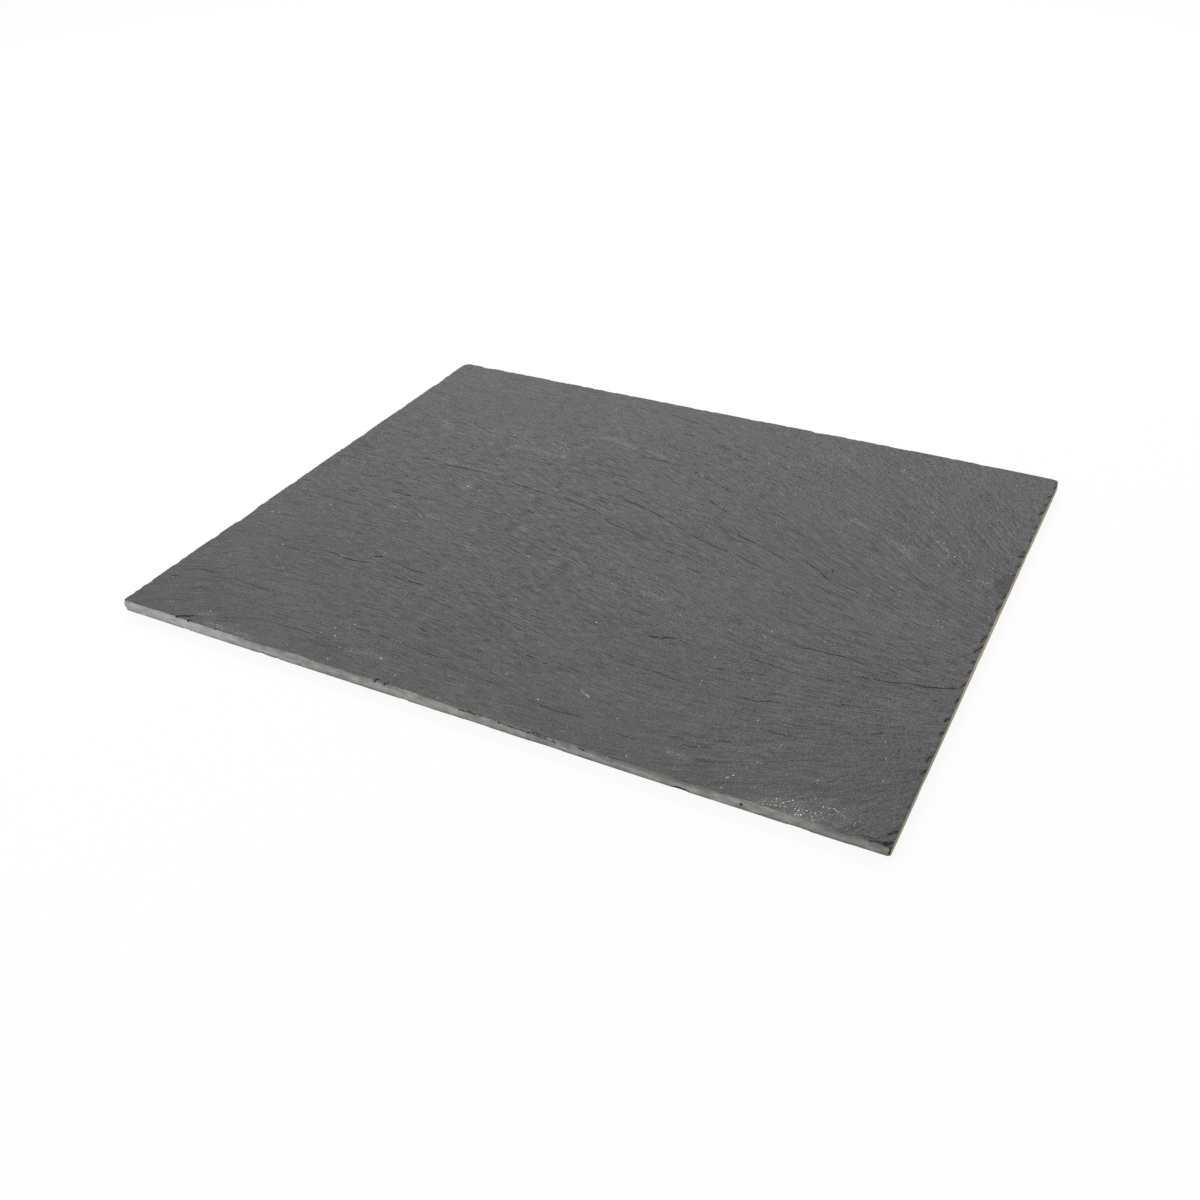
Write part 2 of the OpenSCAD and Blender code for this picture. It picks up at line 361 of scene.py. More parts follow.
CRACKS = [
    (0.28, [(-121, 25.3), (-118.5, 26.2), (-115.7, 27.7), (-113.5, 26.8), (-110, 26.2)]),
    (0.36, [(-109.5, 24.6), (-106.2, 24.3), (-103.5, 25.3), (-99, 25.5), (-92, 25.7), (-85.7, 25.5)]),
    (0.24, [(-85.7, 25.5), (-79.4, 25), (-74.4, 24.7), (-69.4, 23.2)]),
    (0.34, [(-69.4, 23.2), (-66.6, 22.7), (-63, 22.1), (-55, 20.9), (-46, 20.1)]),
    (0.24, [(-46, 20.1), (-36.8, 19.8), (-28.6, 18.2), (-19.5, 16.4), (-13.2, 12.7)]),
    (0.34, [(-13.2, 12.7), (-9.5, 9.4), (-7.7, 8.6), (-0.5, 7.7)]),
    (0.27, [(-0.5, 7.7), (7.7, 5), (15, 2.7)]),
    (0.24, [(-161.6, 24.7), (-153.9, 25), (-145.7, 24.4)]),
    (0.24, [(-159, 10.5), (-155, 12.7), (-151, 12.3), (-145.7, 11.4)]),
    (0.28, [(-158.5, 6.8), (-154.4, 5.5)]),
    (0.28, [(-119.6, 9.1), (-115.7, 6.8)]),
    (0.46, [(-105.8, 47.4), (-103.8, 46.9)]),
    (0.21, [(-66.6, 46.8), (-57.5, 45.9)]),
    (0.36, [(-24.1, 73.2), (-15.9, 72.5), (-9.5, 72.5), (-5, 70.9), (-1.8, 70.5)]),
    (0.36, [(0.9, 68.6), (3.4, 68.5)]),
    (0.42, [(6.2, 68.3), (9, 67.8)]),
    (0.36, [(12.3, 65.9), (15, 64.4), (17.7, 63.4)]),
    (0.24, [(17.7, 63.4), (22.3, 61.4), (26, 59), (29.1, 56.5)]),
    (0.24, [(22.3, 61.4), (31.4, 58.2), (35, 55.9)]),
    (0.28, [(-22.3, 31.2), (-18.6, 31.8), (-13.2, 31.4)]),
    (0.36, [(-13.2, 31.4), (-9.5, 30), (-4.1, 28.5)]),
    (0.27, [(-4.1, 28.5), (1.4, 26.8)]),
    (0.36, [(1.4, 26.8), (6.8, 25.2), (12.3, 22.7)]),
    (0.27, [(12.3, 22.7), (17.7, 20), (25, 16.4)]),
    (0.34, [(25, 16.4), (32.3, 13.6), (39.5, 10.9), (45, 9.1), (50, 8.2)]),
    (0.24, [(50, 8.2), (54.8, 7.3), (60.5, 4.5), (66.8, 2.7)]),
    (0.27, [(35.9, 27.3), (41.4, 25.5), (45.9, 24.1)]),
    (0.36, [(45.9, 24.1), (50.5, 22), (54.8, 20.5), (57, 19.6)]),
    (0.27, [(57, 19.6), (60.5, 18.6), (64.1, 16.8), (70.5, 14.1), (74.1, 12.3)]),
    (0.31, [(19.1, 48.6), (23.2, 46.4), (28.6, 43.5), (31.4, 41.8), (35.9, 39.5)]),
    (0.21, [(-41.4, 56.5), (-29, 56.3), (-21.4, 55.9)]),
    (0.24, [(-36.8, 50.9), (-23.2, 50), (-18.6, 49.1)]),
    (0.24, [(-52.3, 51.1), (-45.9, 50.7)]),
    (0.24, [(-47.7, 44.5), (-34, 45)]),
    (0.24, [(-27.7, 43.6), (-18.6, 42.3), (-9.5, 40.9), (-4.1, 40)]),
    (0.27, [(-27.7, 25.5), (-21.4, 24.7), (-15.9, 24.4)]),
    (0.34, [(-49.5, 12.3), (-44.5, 10.9)]),
    (0.31, [(-49.5, 2.7), (-43.2, 2.3)]),
    (0.34, [(77.3, 15.9), (81.4, 15), (85.9, 12.3), (88.6, 10.5)]),
    (0.36, [(88.6, 10.5), (91.4, 8.2), (94.1, 6.5), (95.8, 6.4)]),
    (0.36, [(92.7, 14.5), (93.6, 13.2), (94.1, 12.3), (93.6, 10.9)]),
    (0.27, [(98.6, 5.5), (102.3, 3.6), (105.9, 3.2), (109.5, 0.7)]),
    (0.31, [(118.6, 10), (121.8, 8.2)]),
    (0.24, [(-161, 128.6), (-156.3, 126.3), (-151.9, 125.2)]),
    (0.21, [(-131.9, 126.9), (-126.3, 125.4), (-120.8, 125.8)]),
    (0.24, [(-107.4, 106.9), (-103.6, 105.8)]),
    (0.31, [(-48.9, 114.7), (-46.1, 113), (-40.6, 110.2)]),
    (0.24, [(-36.1, 123), (-27.2, 120.2), (-20.6, 118), (-10.6, 115.8)]),
    (0.24, [(-6.1, 114.7), (-1.7, 113), (3.9, 110.2)]),
    (0.36, [(-16.1, 103.9), (-13.3, 103), (-8.3, 102.8)]),
    (0.28, [(5, 99.3), (9.4, 97.7), (14.4, 96.3)]),
    (0.31, [(15.6, 94.1), (20.6, 91.7), (27.8, 89.4)]),
    (0.27, [(39.4, 92.4), (46.7, 88)]),
    (0.27, [(51.7, 85.2), (54.8, 83.2)]),
    (0.24, [(-140, 0), (-130, -0.3)]),
    (0.31, [(-114.8, -8), (-107.5, -7.8)]),
    (0.46, [(-107.8, -7.8), (-105, -8), (-102.8, -8.3)]),
    (0.28, [(-100.3, -7.6), (-94.8, -7.1), (-91.2, -6.2), (-88, -6.7)]),
    (0.36, [(-107.5, -46.9), (-104.8, -46), (-103, -46.5)]),
    (0.21, [(-146.6, -24), (-137, -25.3), (-118, -25.5)]),
    (0.27, [(-22.3, -21), (-19, -21.6), (-15.5, -22.4)]),
    (0.31, [(22.7, -10.1), (26.4, -11)]),
    (0.27, [(24.1, -1.6), (28.2, -2.5)]),
    (0.24, [(37.3, -10.5), (45.5, -11.9)]),
    (0.27, [(94.5, -43.3), (100, -43.9), (105.5, -43.1), (109.5, -42.8), (112.7, -43), (118.2, -42.2),
        (124, -42.7)]),
    (0.28, [(122.3, -52.7), (127.7, -51.8), (130.9, -51.2)]),
    (0.36, [(130.9, -51.2), (137.3, -50.3), (140.5, -49.6), (143.2, -48.1)]),
    (0.36, [(143.2, -48.1), (150, -47.4), (155.5, -45.5), (161.2, -43.4)]),
    (0.27, [(80, -11), (82.7, -12.4)]),
    (0.24, [(151.8, -28.7), (157.3, -29.2)]),
    (0.36, [(145.8, -27.9), (147.2, -28.4)]),
    (0.24, [(-158.5, -67.3), (-155.3, -66.8), (-152.5, -66.6)]),
    (0.31, [(-129.8, -68.9), (-123.9, -68.6), (-119.4, -68.8)]),
    (0.28, [(-108.9, -64.3), (-104.8, -64.5), (-100.3, -65.9)]),
    (0.36, [(-100.3, -65.9), (-95.7, -65.9), (-91.2, -65.3), (-86, -64.4)]),
    (0.48, [(-88.2, -59.8), (-86.6, -58.5), (-83.6, -58)]),
    (0.24, [(-82.8, -58.6), (-73.9, -60), (-66.6, -61.4), (-55, -62.3)]),
    (0.34, [(-70.7, -69), (-68, -69.5)]),
    (0.34, [(-64.8, -69.1), (-61.2, -69.5), (-54, -69.3)]),
    (0.27, [(-157.1, -102.7), (-153, -101.4), (-149.4, -99.5), (-144.8, -99.1), (-136.6, -98.2)]),
    (0.21, [(-133, -98.2), (-130.3, -99.1), (-123, -100), (-110.3, -100)]),
    (0.36, [(-157.5, -108.9), (-153, -107.5)]),
    (0.20, [(-117.5, -124.5), (-112.1, -122.3), (-106.6, -120), (-99.4, -118.6)]),
    (0.22, [(-99.4, -118.6), (-90.3, -117.7), (-81.2, -117.7), (-71.2, -117)]),
    (0.31, [(-63, -106.8), (-55, -106.4)]),
    (0.36, [(-52, -107), (-45.9, -106.8)]),
    (0.21, [(-42.3, -107.3), (-36.8, -108.2), (-18.6, -109.1)]),
    (0.28, [(-40, -95.5), (-34.1, -97.3)]),
    (0.50, [(43.6, -61.5), (46, -61.7), (48.6, -61.6)]),
    (0.38, [(48.6, -61.6), (50, -60.9), (50.5, -60.2), (52.3, -59.5), (55.2, -58.8)]),
    (0.18, [(55, -59.1), (59.5, -59.4), (62.3, -60)]),
    (0.34, [(7, -93.4), (12.7, -93.6)]),
    (0.36, [(15.5, -95.1), (17.9, -94.7)]),
    (0.17, [(21.4, -95), (30.5, -95.5)]),
    (0.21, [(19.5, -116.8), (26.8, -117.3), (32.3, -118.2), (40.5, -117.7), (45.9, -116.8)]),
    (0.18, [(39.5, -81.8), (45, -81.4), (49.5, -81.8)]),
    (0.25, [(49.5, -81.8), (54.8, -81.4), (62.3, -82.3), (68.6, -83.2), (73.2, -82)]),
    (0.18, [(85, -59.1), (91.4, -58.8), (100.5, -60), (105.9, -60.2), (111.4, -59.8)]),
    (0.25, [(111.4, -59.8), (116.8, -58.9), (119.5, -58.8)]),
    (0.21, [(70.5, -70.7), (76.8, -70.2), (81.4, -68.6)]),
    (0.20, [(85, -69.1), (89.5, -66.8), (95.9, -65.9)]),
    (0.27, [(89.5, -83.2), (93.2, -81.8), (97.7, -82), (102.3, -79.5), (106.8, -78.9)]),
    (0.21, [(122.3, -72.3), (126.8, -70), (133.2, -68.5)]),
    (0.27, [(139.1, -82.5), (141.4, -81.4), (142.7, -80), (144.5, -78.9)]),
    (0.21, [(105.9, -95.5), (113.2, -95.9), (115.9, -94.5)]),
    (0.27, [(82, -115.4), (84, -115.3)]),
    (0.23, [(84, -115.3), (86.8, -115), (89.5, -113.9), (93.2, -112.9)]),
    (0.20, [(91.4, -109.5), (95.9, -107.3), (98.6, -106.8)]),
    (0.18, [(58.6, -119.8), (68.6, -120)]),
    (0.23, [(153.6, -55.5), (155, -54.1), (156.8, -54.1)]),
    (0.60, [(-135, -132.7), (-133.5, -131.4), (-132.5, -130.5), (-130.7, -129.5), (-129.3, -129.3),
        (-127, -127.1)]),
    (0.42, [(-128.9, -132.7), (-126.6, -131.2), (-125.5, -130.6)]),
    (0.46, [(-36, -132.7), (-35.6, -131.2), (-34.5, -130)]),
    (0.42, [(-31.6, -132.7), (-31, -131.4), (-29.8, -130)]),
    (0.27, [(-18.2, -128.2), (-15.9, -127.7)]),
    (0.24, [(150.5, -132.6), (154, -132.4), (156.8, -131.8)]),
    (0.36, [(156.8, -131.8), (159.5, -131.4), (161, -130.4), (162.6, -129.9)]),
    (0.20, [(151.5, -131.2), (157.5, -130.6)]),
    (0.31, [(159.6, -128), (160.4, -126), (160.8, -124.5)]),
]

# Scratches on the top
SCRATCHES = [
    (0.15, [(35.9, -103.4), (38.2, -104.0), (40.0, -105.0)]),
    (0.22, [(38.0, -104.6), (40.4, -105.4), (42.2, -106.4)]),
    (0.13, [(140.6, -123.4), (143.5, -124.8), (146.8, -126.4)]),
]

# Pale smears of fine flecks, each with its half width and points
SMEARS = [
    (2.0, [(-86, 56.4), (-81.2, 55.5), (-75.7, 57.3), (-69.4, 55.9), (-57, 55.5)]),
    (2.2, [(-50, 82.3), (-44, 84), (-39, 81), (-30, 79.5)]),
    (1.4, [(-22, 79), (-13, 76)]),
    (1.0, [(-118, 30), (-112, 29.5), (-99.4, 27.7), (-77, 27.7)]),
    (1.0, [(121, 60), (127, 54), (133, 48.5)]),
    (2.4, [(109, 46.2), (115, 42), (121, 37.4)]),
    (1.6, [(88, 57), (98, 52.5)]),
    (2.4, [(-133, 65), (-127, 60)]),
    (1.4, [(-86.5, -19.3), (-80, -20.4)]),
    (1.2, [(12, 44.6), (17, 42.6)]),
    (1.6, [(63.5, 113.2), (70, 110)]),
    (1.8, [(94.5, 111.2), (102, 103.8)]),
    (1.2, [(-57.8, -32.8), (-55, -36), (-46.8, -36)]),
    (1.4, [(-8, -3.8), (-2, -7)]),
    (1.4, [(30.4, -35), (40.5, -36.8)]),
    (1.4, [(80, -121.3), (87.5, -121.5)]),
    (1.6, [(-56, -120.3), (-45.9, -118.6), (-40, -118.6)]),
    (1.2, [(-130, -128.2), (-126, -126), (-120.5, -123.4)]),
    (1.0, [(105.5, -87.3), (111.5, -86.9)]),
    (1.2, [(33.5, 69), (37.5, 68.1)]),
    (1.2, [(28, 44.2), (33.5, 43.3)]),
    (1.8, [(-120, -129.5), (-96, -130.5)]),
]

# Single white flecks on the top, by radius: points (x, y)
WHITE_FLECKS = {
    0.26: [
        (-79.4, 51.6), (39.1, 17.7),
    ],
    0.28: [
        (-155.6, 103.2), (109.7, 84.9), (-153, 76.8), (-154.2, 36.4), (-103.6, 43.8), (125.9, 71.4),
        (149.5, 31.4), (123.6, 7), (112.3, 5.5), (35, -42.6), (-81.6, -28.7), (91.2, -70.6),
    ],
    0.30: [
        (-139.1, 124.7), (-155.3, 50.6), (-150.5, 5.6), (-89.2, 72.5), (-103.9, 67.3), (-108.2, 62),
        (-62.1, 65.9), (18.2, 78), (41.1, 58), (130, 63.6), (137.3, 55.5), (141.2, 49.4), (157.5, 55.6),
        (123.2, 10), (144.5, 4.5), (152.3, 10), (159.5, 7.3), (160.5, 5), (-156.4, -4.8), (-118.2, -12.5),
        (-150, -46.5), (145, -7.4), (-146, -84.8), (-117.8, -83.6), (73.2, -63.6), (103.2, -57.7),
        (150.9, -103.5), (103.4, -124.7),
    ],
    0.32: [
        (24.7, 106.1), (-5.3, 84.4), (146.1, 118.3), (144.4, 95.2), (-59.4, 63.5), (-82.5, 10.7),
        (-77.3, 9.8), (3.6, 22.7), (68.2, 76.2), (84.1, 61.4), (129.3, 54.1), (138.3, 46.1), (140.6, 52.7),
        (119.1, 11.4), (-73, 0.2), (-70.3, -45.1), (116.4, -29.5), (141.8, -8), (-70.3, -106.4),
        (-64.5, -104.8), (-126.2, -77.5), (-66.2, -83.9), (-15.7, -61.5), (-21.8, -65.5), (43.2, -86.6),
        (-45, -107.1), (114.1, -100.9), (145.7, -83.8), (121.5, -130.7),
    ],
    0.34: [
        (21.9, 121.3), (114.4, 96.1), (-103.6, 64.8), (-101, 61.1), (-69.4, 76.4), (38.9, 71.8), (31.2, 42),
        (92.7, 38.2), (119.7, 75), (126.4, 54.5), (131.8, 49.7), (152.7, 42.9), (154.2, 31.4), (42, -7.1),
        (49.7, -43.7), (-90.5, -21), (-146.2, -14.4), (-134.6, -3.5), (-153.5, -47.4), (86.6, -38.7),
        (85.7, -43.5), (-73.5, -115.3), (-60.3, -120.5), (-123.7, -122.5), (-143.7, -124.1), (-60, -128.4),
        (-105.5, -66.2), (-30.6, -125.6), (-28.6, -55.6), (21.8, -62.5), (25.2, -115.2), (7, -106.8),
        (-41.2, -107.1), (-8.4, -130.3), (74.5, -78.9), (101.8, -91.8), (148.4, -92.1), (103.9, -130),
        (136.2, -131.2), (119.1, -131.3),
    ],
    0.36: [
        (-74.1, 109.1), (98.3, 116.3), (-95.7, 13.2), (-63.7, 63), (117.5, 78.4), (133.6, 67.3),
        (133.5, 45.7), (131.8, 35.5), (145.9, 29.5), (152.3, 30.9), (112.5, 1.7), (14.5, -34.6),
        (-77.5, -131.6), (123.2, -130), (68.2, -129.1), (137.3, -124.1), (135.9, -128.2), (122.2, -127),
        (126.2, -129.3),
    ],
    0.38: [
        (-147.7, 105.2), (-93, 75.7), (-87.3, 51.8), (140, 43.2), (-88.6, -22.1), (-70.1, -110.2),
        (-130.5, -68.2), (127.3, -125.3), (140.7, -123.4), (130.6, -129),
    ],
    0.40: [
        (-142.7, 120.6), (-143.9, 80.8), (8.9, 122.8), (44.7, 92.1), (-143.5, 10.2), (11.2, 66.4),
        (136, 45.6), (-27.3, -30.9), (-132.8, -30.7), (105, -122.5), (124.9, -127.8), (133, -128.1),
    ],
    0.42: [
        (35.2, 90.8), (-84.8, 11.2), (-66.8, -114.7), (130.2, -131.5),
    ],
    0.44: [
        (-68.3, 65.6), (29.5, 42.9), (-104.4, -19.8), (-84.8, -55.2),
    ],
    0.46: [
        (-91.8, 66.2), (-41.6, -119.3),
    ],
    0.52: [
        (132, -130.7),
    ],
}

# Patches with many white flecks: middle, half size along and across, share of flecks
FLECK_PATCHES = [
    (129, -130, 16, 5.5, 0.75),
    (140, -125, 14, 8, 0.22),
    (112, -122, 18, 9, 0.09),
    (110, -112, 30, 16, 0.05),
    (-102, 63, 7, 5, 0.10),
    (-64, 64, 8, 5, 0.10),
    (-80, 57, 18, 7, 0.03),
    (138, 50, 10, 9, 0.04),
    (152, 32, 6, 5, 0.10),
    (120, 10, 6, 4, 0.08),
    (112, 3, 2.5, 6, 0.20),
    (-82, -125, 24, 8, 0.03),
    (-62, -108, 12, 6, 0.03),
    (-140, -124, 16, 8, 0.03),
]

# Dark patches that a thin leaf has come off: middle, half size along and across
DARK_PATCHES = [(161.5, 31, 6.0, 9.5), (160.5, 37, 3.0, 5.0)]
DARK_RAGGED, DARK_RAGGED_L = 0.5, 3.5
DARK_DEEP = 0.35

# How far from a line its half width counts, and what stands for it farther off
LINE_REACH, OFF_LINE = 3.0, -1.0
# How blunt a line's ends are
LINE_TAPER = 6
# How far from a single fleck it is looked for, and the size that it is drawn at
FLECK_REACH, FLECK_SCALE = 1.9, 0.85
# Share of flecks on plain stone and in the middle of a smear
FLECK_SHARE, SMEAR_SHARE = 0.002, 0.5
# Where patches and smears start to fade and where they end, as shares of their half sizes
PATCH_FADE = (0.3, 1.15)
SMEAR_FADE = (0.2, 1.3)


def nearest_line(x, y, lines):
    """Signed distance to the nearest of some bent lines, its half width there, and the plain distance.

    The distance is above 0 on the left of a line's run. Its half width is full in its middle and runs to 0 at
    its ends, and below 0 past them and far away.
    """
    best = signed = half_width = np.full(x.shape, np.inf)
    for width, points in lines:
        points = np.array(points, float)
        legs = np.diff(points, axis=0)
        lengths = np.hypot(*legs.T)
        before = np.cumsum(lengths) - lengths
        for (px, py), (dx, dy), length, start in zip(points, legs, lengths, before):
            along = ((x - px) * dx + (y - py) * dy) / length
            off = ((y - py) * dx - (x - px) * dy) / length
            distance = np.hypot(off, along - np.clip(along, 0, length))
            place = 2 * (start + along) / lengths.sum() - 1
            tapered = width * np.clip(1 - np.abs(place) ** LINE_TAPER, -1, 1)
            closer = distance < best
            best = np.where(closer, distance, best)
            signed = np.where(closer, np.where(off < 0, -distance, distance), signed)
            half_width = np.where(closer, tapered, half_width)
    return signed, np.where(best < LINE_REACH, half_width, OFF_LINE), best


def fleck_share(x, y):
    """Share of the stone's flecks that are white: a low level, with a soft-edged oval for each patch."""
    share = np.full(x.shape, FLECK_SHARE)
    for across, deep, half_l, half_w, level in FLECK_PATCHES:
        reach = np.hypot((x - across) / half_l, (y - deep) / half_w)
        share = np.maximum(share, level * (1 - smooth_step(*PATCH_FADE, reach)))
    for half_width, points in SMEARS:
        away = nearest_line(x, y, [(half_width, points)])[2] / half_width
        share = np.maximum(share, SMEAR_SHARE * (1 - smooth_step(*SMEAR_FADE, away)))
    return share


def nearest_fleck(x, y):
    """Where a point lies from the nearest of the single flecks, and its radius, or below 0 far from all."""
    best = np.full(x.shape, FLECK_REACH)
    found = np.stack([best, best, np.full(x.shape, OFF_LINE)], axis=-1)
    for radius, places in WHITE_FLECKS.items():
        for fleck_x, fleck_y in places:
            away = np.hypot(x - fleck_x, y - fleck_y)
            here = np.stack([x - fleck_x, y - fleck_y, np.full(x.shape, FLECK_SCALE * radius)], axis=-1)
            found = np.where((away < best)[:, None], here, found)
            best = np.minimum(away, best)
    return found


def dark_patches(x, y):
    """How far inside a dark patch a point lies: 1 - r squared in its oval, with a ragged edge."""
    ragged = DARK_RAGGED * lattice_noise(x / DARK_RAGGED_L, y / DARK_RAGGED_L, SEEDS["dark patch"])
    inside = np.full(x.shape, -1.0)
    for across, deep, half_l, half_w in DARK_PATCHES:
        reach = np.hypot((x - across) / half_l, (y - deep) / half_w)
        inside = np.maximum(inside, 1 - reach ** 2 + ragged)
    return DARK_DEEP * inside


# Chips along the arrises: place along the side, half length, reach into the face, depth, slant

TOP_CHIPS = {
    "front": [
        (-130.5, 4.0, 0.7, 0.5, 0.4), (-128, 0.8, 1.0, 0.5, 0.6), (-90, 2.4, 0.7, 0.4, 0.2),
        (-36, 1.8, 0.9, 0.4, 0.5), (-31, 1.0, 0.8, 0.4, 0.5), (-118, 2.2, 0.5, 0.2, 0.0),
        (-62, 3.0, 0.4, 0.3, 0.0), (24, 9.0, 0.4, 0.5, 0.0), (8, 5.0, 0.4, 0.4, 0.0),
        (91, 5.0, 0.6, 0.4, 0.2), (130, 7.0, 0.5, 0.3, 0.0), (157, 5.4, 0.9, 0.5, 0.1),
        (161.4, 1.9, 2.4, 0.8, 0.1), (60, 3.0, 0.4, 0.3, 0.2),
    ],
    "right": [
        (-131, 1.6, 2.5, 0.60, -0.3), (-125.7, 1.6, 2.7, 0.50, -0.5), (-111.7, 1.4, 0.8, 0.30, -0.5),
        (-93.7, 1.9, 1.6, 0.45, -0.6), (-85.7, 2.9, 1.7, 0.60, -0.7), (-71, 2.2, 1.2, 0.55, -0.8),
        (-62.5, 1.7, 1.9, 0.60, -0.7), (-51, 2.2, 1.1, 0.40, -0.8), (-40.7, 2.0, 1.4, 0.50, -0.8),
        (-31.7, 1.4, 1.4, 0.45, -0.6), (-25, 1.2, 1.7, 0.40, -0.6), (-16, 3.2, 2.3, 0.55, -0.8),
        (-8, 4.2, 1.8, 0.50, -0.9), (2, 1.3, 1.3, 0.40, -0.5), (15.2, 3.4, 1.7, 0.55, -0.9),
        (23.7, 2.0, 1.2, 0.40, -0.7), (35.5, 1.6, 0.5, 0.25, 0.0), (41.5, 0.9, 1.3, 0.40, -0.4),
        (49, 1.3, 1.6, 0.45, -0.5), (57.5, 1.3, 2.3, 0.55, -0.4), (61.2, 1.5, 1.5, 0.45, -0.5),
        (72, 2.2, 0.9, 0.40, -0.6), (84.2, 2.0, 1.2, 0.45, -0.7), (98, 2.3, 1.8, 0.60, -0.8),
        (106.2, 2.0, 1.6, 0.50, -0.7), (114.2, 1.1, 1.9, 0.45, -0.4), (124, 2.4, 0.9, 0.35, -0.4),
        (-104, 2.2, 0.6, 0.25, -0.4), (-78, 2.0, 0.6, 0.25, -0.4), (66, 1.8, 0.5, 0.25, -0.3),
        (91, 2.0, 0.5, 0.25, -0.3), (30, 1.8, 0.5, 0.25, 0.2),
    ],
    "back": [
        (-148, 3.2, 0.8, 0.7, 0.0), (-135, 2.4, 0.6, 0.6, 0.0), (-71, 4.0, 0.5, 0.5, 0.0),
        (45, 3.0, 0.8, 0.6, 0.0), (-104, 5.0, 0.4, 0.4, 0.0), (-20, 4.0, 0.5, 0.5, 0.0),
        (12, 3.0, 0.4, 0.5, 0.0), (88, 6.0, 0.5, 0.5, 0.0), (128, 3.5, 0.7, 0.7, 0.0),
        (150, 4.0, 0.9, 0.9, 0.0),
    ],
    "left": [
        (-59, 3.0, 0.8, 0.7, 0.0), (-54, 7.5, 2.0, 0.5, 0.0), (-117, 2.4, 0.5, 0.5, 0.0),
        (-100, 2.0, 0.6, 0.5, 0.0), (-75, 2.6, 0.6, 0.6, 0.0), (35, 3.0, 0.8, 0.7, 0.0),
        (70, 4.0, 0.5, 0.5, 0.0), (-20, 3.0, 0.4, 0.5, 0.0), (104, 4.5, 0.7, 0.6, 0.0),
    ],
}

UNDER_CHIPS = {
    "front": [
        (-128.5, 1.2, 0.8, 0.3, 0.0), (-89.5, 1.6, 0.9, 0.4, 0.0), (-82, 1.0, 0.7, 0.3, 0.0),
        (-22.5, 1.8, 0.8, 0.3, 0.0), (90, 3.2, 0.8, 0.3, 0.0), (9, 6.0, 0.5, 0.2, 0.0),
        (38, 7.0, 0.5, 0.2, 0.0), (132, 4.0, 0.8, 0.3, 0.0), (163, 15.0, 1.0, 0.3, 0.0),
    ],
    "right": [(-96, 4.0, 0.9, 0.5, 0.0), (-20, 3.0, 0.7, 0.4, 0.0), (66, 5.0, 1.0, 0.5, 0.0)],
    "back": [(-118, 4.0, 0.9, 0.8, 0.0), (-12, 6.0, 0.8, 0.7, 0.0), (104, 3.5, 1.0, 0.9, 0.0)],
    "left": [(-88, 3.5, 0.8, 0.7, 0.0), (18, 4.5, 0.9, 0.8, 0.0), (96, 3.0, 0.7, 0.7, 0.0)],
}

# Nicks too small to be read off one by one: sizes, then reach and depth as a start and a share of the size
NICKS_PER_SIDE = 46
NICK_MARGIN = 4
NICK_SIZES = (0.5, 1.6)
NICK_REACH = (0.25, 0.2)
NICK_DEPTH = (0.02, 0.2)
UNDER_NICK_SHARE = 0.25

# A chip's ragged edge, and the step just inside its rim: share of its depth, and the run of p that it takes
CHIP_WEAR, CHIP_WEAR_L, CHIP_WEAR_SEED = 0.22, 0.9, 20
CHIP_STEP, CHIP_STEP_RUN = 0.5, 0.2
# Only chips deeper than this get painted shade inside their rim, and other points count as this far outside
# one
DARK_RIM_DEPTH = 0.65
NO_RIM = -3.0

# The painted shadow of the step at the inner rim of the right side's larger scars, drawn as a crack: the
# least reach that has one, its half width as a start and a share of the reach, and its points as shares of
# the half length and the reach
HOOKED_REACH = 0.7
HOOK_THIN, HOOK_THICKER = 0.13, 0.06
HOOK_ALONG_SHARES = (-0.95, -0.3, 0.35, 1.0)
HOOK_INWARD_SHARES = (1.0, 0.8, 0.45, -0.1)

# Marks on the front side: painted shade of small chips and pits, and dark lines of cleavage, each with its
# half width and points (x, height above the underside)
WALL_MARKS = [
    (0.22, [(-160, 4.2), (-159, 3.2)]),
    (0.20, [(-156.5, 0.4), (-154.5, 0.2)]),
    (0.42, [(-129.2, 0.4), (-127.6, 0.0)]),
    (0.22, [(-109.4, 2.2), (-108.4, 1.8)]),
    (0.20, [(-96.5, 0.1), (-93, 0.1)]),
    (0.18, [(-95, 3.9), (-91.5, 3.2)]),
    (0.16, [(-95.5, 2.4), (-94.4, 2.0)]),
    (0.44, [(-90.0, 1.1), (-88.4, 0.0)]),
    (0.36, [(-82.8, 0.3), (-81.2, 0.1)]),
    (0.22, [(-38, 4.2), (-36, 3.8), (-34, 4.0)]),
    (0.22, [(-30.0, 3.7), (-29.0, 3.4)]),
    (0.24, [(-25.8, 4.0), (-25.2, 2.9)]),
    (0.28, [(-24.0, 1.2), (-22.6, 0.9), (-21.2, 0.2)]),
    (0.14, [(-6, 4.0), (8, 4.05), (20, 4.0)]),
    (0.14, [(0, 3.5), (12, 3.6)]),
    (0.22, [(17, 3.6), (26, 3.45), (34, 3.4)]),
    (0.26, [(32, 3.3), (38, 3.0), (43.5, 2.6)]),
    (0.22, [(31, 4.1), (37, 4.05), (42, 3.9)]),
    (0.26, [(50.5, 3.75), (54.2, 3.5)]),
    (0.16, [(58, 3.9), (68, 4.0)]),
    (0.18, [(63.2, 1.7), (65.2, 1.1)]),
    (0.20, [(4.2, 0.15), (15.5, 0.2)]),
    (0.20, [(30, 0.3), (42, 0.2)]),
    (0.20, [(52, 0.15), (57, 0.15)]),
    (0.60, [(87.0, 0.0), (88.6, 0.55), (91.4, 0.55), (93.8, 0.0)]),
    (0.16, [(101.2, 1.5), (102.6, 1.1)]),
    (0.62, [(111.2, 2.2), (112.6, 2.2)]),
    (0.20, [(117.5, 0.25), (119.5, 0.2)]),
    (0.24, [(128.5, 0.35), (134.5, 0.35)]),
    (0.18, [(143, 3.9), (150, 3.8)]),
    (0.50, [(162.5, 4.4), (162.3, 2.4), (161.8, 0.9)]),
]


